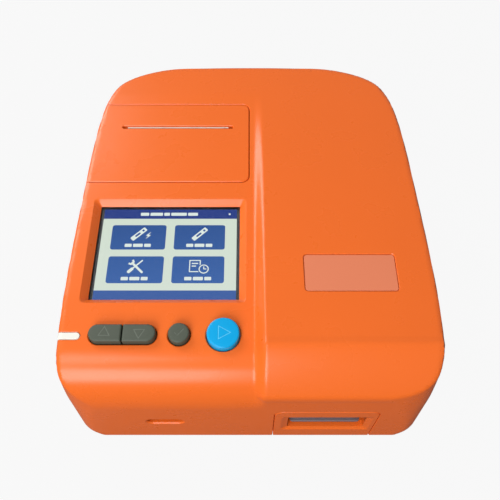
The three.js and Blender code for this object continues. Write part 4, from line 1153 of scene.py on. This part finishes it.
def draw_cassette(centre, with_bolt):
    """A test cassette lying aslant: its body, its window, its well, and a bolt beside it."""
    add_layer(bar(centre, 9.6, 2.5, 44, 0.5), 3, "screen_white")
    add_layer(turned(rounded((-2.3, 1), (-0.5, 0.5), 0.45, 4), centre, 44), 4, "screen_tile")
    add_layer(turned(circle((3.1, 0), 0.62, 20), centre, 44), 4, "screen_tile")
    if with_bolt:
        bolt = [(0.9, 2.5), (-1.3, -0.4), (-0.1, -0.4), (-0.9, -2.5), (1.3, 0.4), (0.1, 0.4)]
        add_layer(turned(bolt, (centre[0] + 5, centre[1] - 0.8), -12), 3, "screen_white")


def draw_tools(centre):
    add_layer(bar(centre, 9.8, 0.75, 45, 0.3), 3, "screen_white")
    add_layer(bar((centre[0] - 2.4, centre[1] - 2.4), 3.8, 1.7, 45, 0.7), 4, "screen_white")
    add_layer(bar((centre[0] + 1.1, centre[1] - 1.1), 7.8, 1.2, 135, 0.5), 5, "screen_white")
    jaw = [(-0.7, -0.2), (-0.6, 0.5), (0.6, 0.5), (0.7, -0.2), (1.7, 0), (1.2, 1.3), (0, 1.75), (-1.2, 1.3),
           (-1.7, 0)]
    add_layer(turned(jaw, (centre[0] - 2.5, centre[1] + 2.5), 225, 1.1), 6, "screen_white")


def draw_record(centre):
    x, y = centre[0] - 1, centre[1]
    add_layer(rounded((x - 3.6, x + 2.2), (y - 3.4, y + 3.5), 0.3, 3), 3, "screen_white")
    add_layer(rounded((x - 3.05, x + 1.65), (y - 2.85, y + 2.95), 0.1, 3), 4, "screen_tile")
    for rise, length in ((1.5, 3.2), (0, 2.2)):
        add_layer(bar((x - 2.3 + length / 2, y + rise), length, 0.62, 0, 0.1), 5, "screen_white")
    clock = (x + 3.8, y - 1.7)
    for level, radius, finish in ((5, 3, "screen_tile"), (6, 2.55, "screen_white"), (7, 2, "screen_tile")):
        add_layer(circle(clock, radius, 40), level, finish)
    add_layer(bar((clock[0], clock[1] + 0.7), 1.6, 0.5, 90, 0.1), 8, "screen_white")
    add_layer(bar((clock[0] + 0.6, clock[1]), 1.5, 0.5, 0, 0.1), 9, "screen_white")


def draw_caption(centre, words):
    """A caption that says nothing: a few plain bars where words would be."""
    gap = 0.7
    x = centre[0] - (sum(words) + gap * (len(words) - 1)) / 2
    for width in words:
        add_layer(bar((x + width / 2, centre[1]), width, 1.9, 0, 0.35), 3, "screen_white")
        x += width + gap


add_layer(rectangle(grow(sill_x, 0.6), grow(sill_y, 0.6)), 0, "screen_black")
add_layer(rectangle(lit_x, lit_y), 1, "screen_pale")
add_layer(lit_area((0, 1), (0, 0.11)), 2, "screen_title")
add_layer(lit_area((0, 1), (0.905, 1)), 2, "screen_footer")
draw_caption(lit_place(0.49, 0.056), (4.4, 6.6, 3, 8.2, 5.2))
add_layer(circle(lit_place(0.945, 0.055), 0.55, 16), 3, "screen_white")
columns = ((0.075, 0.477), (0.54, 0.914))
rows = ((0.185, 0.465), (0.54, 0.83))
for row_index, row in enumerate(rows):
    for column_index, column in enumerate(columns):
        add_layer(lit_area(column, row, 1.3), 2, "screen_tile")
        middle = lit_place(sum(column) / 2, row[0] + 0.37 * (row[1] - row[0]))
        caption = lit_place(sum(column) / 2, row[0] + 0.83 * (row[1] - row[0]))
        if row_index == 0:
            draw_cassette(middle, column_index == 0)
        elif column_index == 0:
            draw_tools(middle)
        else:
            draw_record(middle)
        draw_caption(caption, (3.6, 5, 3.4))


def join_layers(name, parts, place):
    """One mesh out of many small ones, each with its own finish."""
    names = sorted({finish for _, finish in parts})
    work = bmesh.new()
    for mesh, finish in parts:
        start = len(work.faces)
        work.from_mesh(mesh)
        work.faces.ensure_lookup_table()
        for face in work.faces[start:]:
            face.material_index = names.index(finish)
        bpy.data.meshes.remove(mesh)
    made = bpy.data.meshes.new(name)
    work.to_mesh(made)
    work.free()
    made.transform(place)
    return made, names


picture, picture_finishes = join_layers("screen_picture", picture_parts, on_panel)
add_piece("screen_picture", picture, "body", picture_finishes, like="cover_glass")
glass_overlap = 1.3
glass_levels = []
for edge, height in ((0.15, -4.7), (0, -4.55), (0, -3.65), (0.15, -3.5)):
    by = glass_overlap - edge
    glass_levels.append((rounded(grow(sill_x, by), grow(sill_y, by), 0.4, 4), height))
add_piece("display_window", stack(glass_levels, on_panel), "body", "cover_glass", ["display_glass"])
print("picture layers:", len(picture_parts))

# %% Light bar and name plate
moulded("glow_plastic", (226, 224, 215), 0.35, shade=0.03, bump=0.1, Specular_IOR_Level=0.3,
        Emission_Color=srgb(250, 246, 236), Emission_Strength=0.08)
add_piece("status_light_bar", bar_skin, "body", "glow_plastic", ["light_bar"])
plate_levels = [(plate_outline(0), -0.8), (plate_outline(0), -0.42), (plate_outline(-0.12), -0.3)]
add_piece("name_plate_film", stack(plate_levels, on_lobe), "body", "label_film", ["name_plate"])

# %% [markdown]
# What lies inside is moulded, turned or stamped. Box-like solids of the frame get their edges broken by a
# bevel. Round ones are turned again with many sides. Whatever repeats, such as the feet and the screws, is
# placed by one small Geometry Nodes tree.

# %% Softened, turned and repeated pieces
def softened(node, width, body, finish, segments=2, angle=30, extra=None):
    """The frame's solid with its edges broken, and something more joined to it where that is asked for."""
    holder = place_object("work", frame_copy(node))
    modifier = holder.modifiers.new("edge", "BEVEL")
    modifier.width = width
    modifier.segments = segments
    modifier.limit_method = "ANGLE"
    modifier.angle_limit = math.radians(angle)
    modifier.use_clamp_overlap = True
    made = made_by_modifiers(holder)
    clear_away([holder])
    if extra:
        made = combine(made, [extra], "UNION")
    add_piece(node + "_soft", made, body, finish, [node])


def lathe(steps, place=None, sides=64):
    """A turned solid along Z, through its radii and heights."""
    return stack([(circle((0, 0), radius, sides), height) for radius, height in steps], place)


def rod(radius, span, edge, place, sides=64):
    """A turned pin or drum along Z, with chamfered ends."""
    low, high = span
    small = radius - edge
    return lathe([(small, low), (radius, low + edge), (radius, high - edge), (small, high)], place, sides)


def revolve(profile, place, sides=96):
    """A ring with a bore: a closed profile of radius and height, turned about Z."""
    points, faces = [], []
    count = len(profile)
    for turn in np.arange(sides) / sides * 2 * math.pi:
        points.extend((r * math.cos(turn), r * math.sin(turn), h) for r, h in profile)
    for i in range(sides):
        j = (i + 1) % sides
        for k in range(count):
            m = (k + 1) % count
            faces.append((i * count + k, j * count + k, j * count + m, i * count + m))
    mesh = new_mesh(points, faces)
    mesh.transform(place)
    return mesh


def lying(v, n):
    """A frame whose Z runs along the unit's X, at a point of the panel's side view."""
    return on_panel @ Matrix.Translation((0, v, n)) @ along_x


def repeat_tree():
    """Geometry Nodes: the shape at every point of the modifier's own mesh, made real, in one finish."""
    tree = bpy.data.node_groups.new("repeat_on_points", "GeometryNodeTree")
    for label, way, kind in (("Points", "INPUT", "Geometry"), ("Shape", "INPUT", "Object"),
                             ("Finish", "INPUT", "Material"), ("Geometry", "OUTPUT", "Geometry")):
        tree.interface.new_socket(label, in_out=way, socket_type="NodeSocket" + kind)
    given, result = tree.nodes.new("NodeGroupInput").outputs, tree.nodes.new("NodeGroupOutput").inputs
    shape = add_node(tree, "GeometryNodeObjectInfo", {"Object": given["Shape"]}).outputs["Geometry"]
    copies = add_node(tree, "GeometryNodeInstanceOnPoints", {"Points": given["Points"], "Instance": shape})
    real = add_node(tree, "GeometryNodeRealizeInstances", {"Geometry": copies.outputs[0]})
    painted = add_node(tree, "GeometryNodeSetMaterial",
                       {"Geometry": real.outputs[0], "Material": given["Finish"]})
    tree.links.new(painted.outputs[0], result["Geometry"])
    return tree


repeat_group = repeat_tree()


def repeated(shape_mesh, places, finish):
    """One mesh with the shape at every place."""
    shape = place_object("shape", shape_mesh)
    holder = place_object("work", new_mesh(places, []))
    modifier = holder.modifiers.new("repeat", "NODES")
    modifier.node_group = repeat_group
    wanted = {"Shape": shape, "Finish": finishes[finish]}
    for socket in repeat_group.interface.items_tree:
        if socket.name in wanted:
            modifier[socket.identifier] = wanted[socket.name]
    made = made_by_modifiers(holder)
    clear_away([shape, holder])
    return made


# %% Feet and screws
foot_radius, foot_height = 7, 3
foot_inset_x, foot_inset_y = 24, 31
foot_places = [(x * (half_width - foot_inset_x), y * (half_depth - foot_inset_y), 0)
               for y in (-1, 1) for x in (-1, 1)]
foot_steps = [(0.8, 0.35), (0.82, 0.08), (0.86, 0), (0.915, 0), (0.94, 0.3), (1, foot_height)]
foot = lathe([(foot_radius * share, height) for share, height in foot_steps])
feet = repeated(foot, foot_places, "foot_rubber")
corner_names = ["front_left", "front_right", "rear_left", "rear_right"]
add_piece("rubber_feet", feet, "body", "foot_rubber", ["foot_" + corner for corner in corner_names])

front_inset, rear_inset = (16.6, 12.6), (24.6, 18)
screw_places = [(x * (half_width - inset_x), y * (half_depth - inset_y), 0)
                for y, (inset_x, inset_y) in ((-1, front_inset), (1, rear_inset)) for x in (-1, 1)]
thread_radius, thread_root, thread_pitch = 1.4, 1.15, 0.8
thread_start, thread_turns = 5.2, 14
head_steps = [(2.5, 3), (2.9, 3.5), (2.9, 4.7), (thread_radius, 4.7)]
turns = [(thread_radius if i % 2 else thread_root, thread_start + i * thread_pitch / 2)
         for i in range(2 * thread_turns)]
screw = lathe([*head_steps, *turns, (0.8, 16.7)])
drive_long, drive_wide, drive_span = (-1.6, 1.6), (-0.33, 0.33), (2, 4)
cross = [block(drive_long, drive_wide, drive_span), block(drive_wide, drive_long, drive_span)]
screws = repeated(combine(screw, cross), screw_places, "steel")
add_piece("housing_screws", screws, "body", "steel", ["housing_screw_" + corner for corner in corner_names])
softened("lower_housing", 0.3, "body", "dark_plastic")
print("feet and screws placed")

# %% Printer
paper_x = (-69.1, -11.6)
paper_thick = 0.3
gear_x = (-76.2, -73.2)
cheek_x = (-72.2, -70.6)
roll_at, platen_at, idler_at, motor_at = (31.7, -26), (46.85, -13), (52.286, -24.145), (57.02, -33.852)
roll_radius, core_radius = 15, 6.2
platen_radius, platen_bore = 4.5, 1.8
winding_scale = 500
moulded("roll_paper", (243, 240, 232), 0.85, shade=0.05, bump=0.3)
roll_tree = finishes["roll_paper"].node_tree
roll_place = roll_tree.nodes.new("ShaderNodeTexCoord").outputs["Object"]
roll_centre = (on_panel @ Vector((0, *roll_at))) * 0.001
centred_place = add_node(roll_tree, "ShaderNodeVectorMath", {0: roll_place, 1: tuple(roll_centre)},
                         operation="SUBTRACT").outputs[0]
coils = add_node(roll_tree, "ShaderNodeTexWave", {"Vector": centred_place, "Scale": winding_scale},
                 wave_type="RINGS", rings_direction="X").outputs["Fac"]
roll_body = roll_tree.nodes["Principled BSDF"]
coil_color = mix_colors(roll_tree, coils, srgb(206, 202, 190), srgb(246, 244, 238))
roll_tree.links.new(coil_color, roll_body.inputs["Base Color"])


def ring_profile(bore, radius, span, edge):
    low, high = span
    return [(bore, low), (radius - edge, low), (radius, low + edge), (radius, high - edge),
            (radius - edge, high), (bore, high)]


paper_roll = revolve(ring_profile(core_radius, roll_radius, paper_x, 0.15), lying(*roll_at))
add_piece("thermal_paper_roll", paper_roll, "roll", "roll_paper", ["paper_roll"], "paper")
spindle_steps = [(2.1, cheek_x[0]), (2.5, cheek_x[0] + 0.4), (2.5, paper_x[0]), (5.6, paper_x[0]),
                 (5.9, paper_x[0] + 0.3), (5.9, paper_x[1] - 0.3), (5.6, paper_x[1]), (2.5, paper_x[1]),
                 (2.5, -9), (2.1, -8.6)]
add_piece("roll_spindle", lathe(spindle_steps, lying(*roll_at)), "roll", "grey_plastic", ["paper_spindle"])
rubber = revolve(ring_profile(platen_bore, platen_radius, paper_x, 0.35), lying(*platen_at))
add_piece("platen_rubber", rubber, "platen", "foot_rubber", ["platen_roller"])
axle = rod(1.5, (gear_x[0], -8.9), 0.25, lying(*platen_at), 48)
add_piece("platen_axle", axle, "platen", "steel", ["platen_shaft"])
motor_can = rod(6.5, (-70.3, -48.3), 0.7, lying(*motor_at))
add_piece("printer_motor_can", motor_can, "body", "steel", ["printer_motor"])
idler_axle = rod(1, (-78.2, -70.6), 0.2, lying(*idler_at), 32)
add_piece("idler_axle", idler_axle, "body", "steel", ["idler_pin"])
softened("platen_gear", 0.1, "platen", "white_plastic")
softened("idler_gear", 0.1, "idler", "white_plastic")
softened("motor_pinion", 0.08, "printer_pinion", "white_plastic")
softened("printer_frame", 0.25, "body", "dark_plastic")
softened("thermal_head", 0.3, "body", "grey_plastic")
hinge_span = (cover_front - run - 4, cover_rear + run + 4)
hinge_place = on_panel @ Matrix.Translation((hinge_x, 0, -hinge_drop)) @ along_y
hinge_pin = rod(0.6, hinge_span, 0.12, hinge_place, 32)
add_piece("cover_pin", hinge_pin, "body", "steel", ["cover_hinge_pin"])


def band(points, thickness):
    """Outline of a strip of even thickness along a line."""
    points = np.array(points, dtype=float)
    ahead = np.vstack((points[1:], points[-1:]))
    behind = np.vstack((points[:1], points[:-1]))
    along = (ahead - behind) / np.linalg.norm(ahead - behind, axis=1)[:, None]
    across = np.column_stack((-along[:, 1], along[:, 0])) * thickness / 2
    return [tuple(point) for point in np.vstack((points - across, (points + across)[::-1]))]


def paper_line():
    """Off the roll on a tangent, round the platen, and up into the slot of the cover."""
    clear = fit + paper_thick / 2
    reach = np.subtract(platen_at, roll_at)
    apart = np.hypot(*reach)
    away = math.atan2(reach[1], reach[0]) - math.acos((roll_radius - platen_radius) / apart)
    leave = np.array(roll_at) + (roll_radius + clear) * np.array((math.cos(away), math.sin(away)))
    bend = [np.array(platen_at) + (platen_radius + clear) * np.array((math.cos(a), math.sin(a)))
            for a in np.linspace(away, 0, 24)]
    up_the_slot = [np.array((slot_at, height)) for height in (-9.0, -4.5, -0.4)]
    return [leave, *bend, *up_the_slot]


strip = prism(band(paper_line(), paper_thick), *paper_x, on_panel @ along_x)
add_piece("printed_strip", strip, "body", "paper", ["paper_strip"])
print("printer dressed")

# %% Tray, guide and optics
tray_setback = 4.6
tray_front = face_y(sum(mouth_z) / 2) + tray_setback
lip_low, lip_high, lip_break = 18.6, 20.1, 0.25
tray_lip = rounded((21.5, 57.3), (tray_front - 1.2, tray_front + 1), [1, 1, 0, 0], 8)
lip_top = [(x, y + lip_break) for x, y in tray_lip]
lip = stack([(tray_lip, lip_low), (tray_lip, lip_high), (lip_top, lip_high + lip_break)])
softened("card_tray", 0.5, "tray", "grey_plastic", 3, extra=lip)
softened("tray_guide", 0.25, "body", "dark_plastic")
softened("tray_rack", 0.1, "tray", "white_plastic")
softened("tray_pinion", 0.1, "tray_drive", "white_plastic")
softened("home_sensor", 0.4, "body", "dark_plastic")
softened("optical_head", 0.5, "body", "dark_plastic")
softened("code_chip_socket", 0.3, "body", "dark_plastic")
softened("display_bracket", 0.3, "body", "dark_plastic")
softened("display_module", 0.25, "body", "module_metal")
softened("shield_can", 0.35, "body", "steel")
softened("battery_pack", 0.4, "body", "battery_wrap", angle=50)
softened("usb_port", 0.12, "body", "module_metal")
softened("switch_body", 0.3, "body", "dark_plastic")
softened("power_rocker", 0.35, "rocker", "dark_plastic", 3)
softened("dc_inlet", 0.15, "body", "dark_plastic", angle=40)
for board in ("main_board", "io_board", "keypad_board", "detector_board"):
    softened(board, 0.12, "body", "circuit_board")
print("pieces:", len(pieces_made))

# %% [markdown]
# Every solid of the frame that keeps its own shape still gets its real surface, by its slot.

# %% Finishes of the frame's own solids
for name, node in nodes.items():
    for place in node.material_slots:
        slot_name = place.material.name.split(".")[0]
        if slot_name in finishes:
            place.material = finishes[slot_name]
        else:
            print("no finish for", name, slot_name)
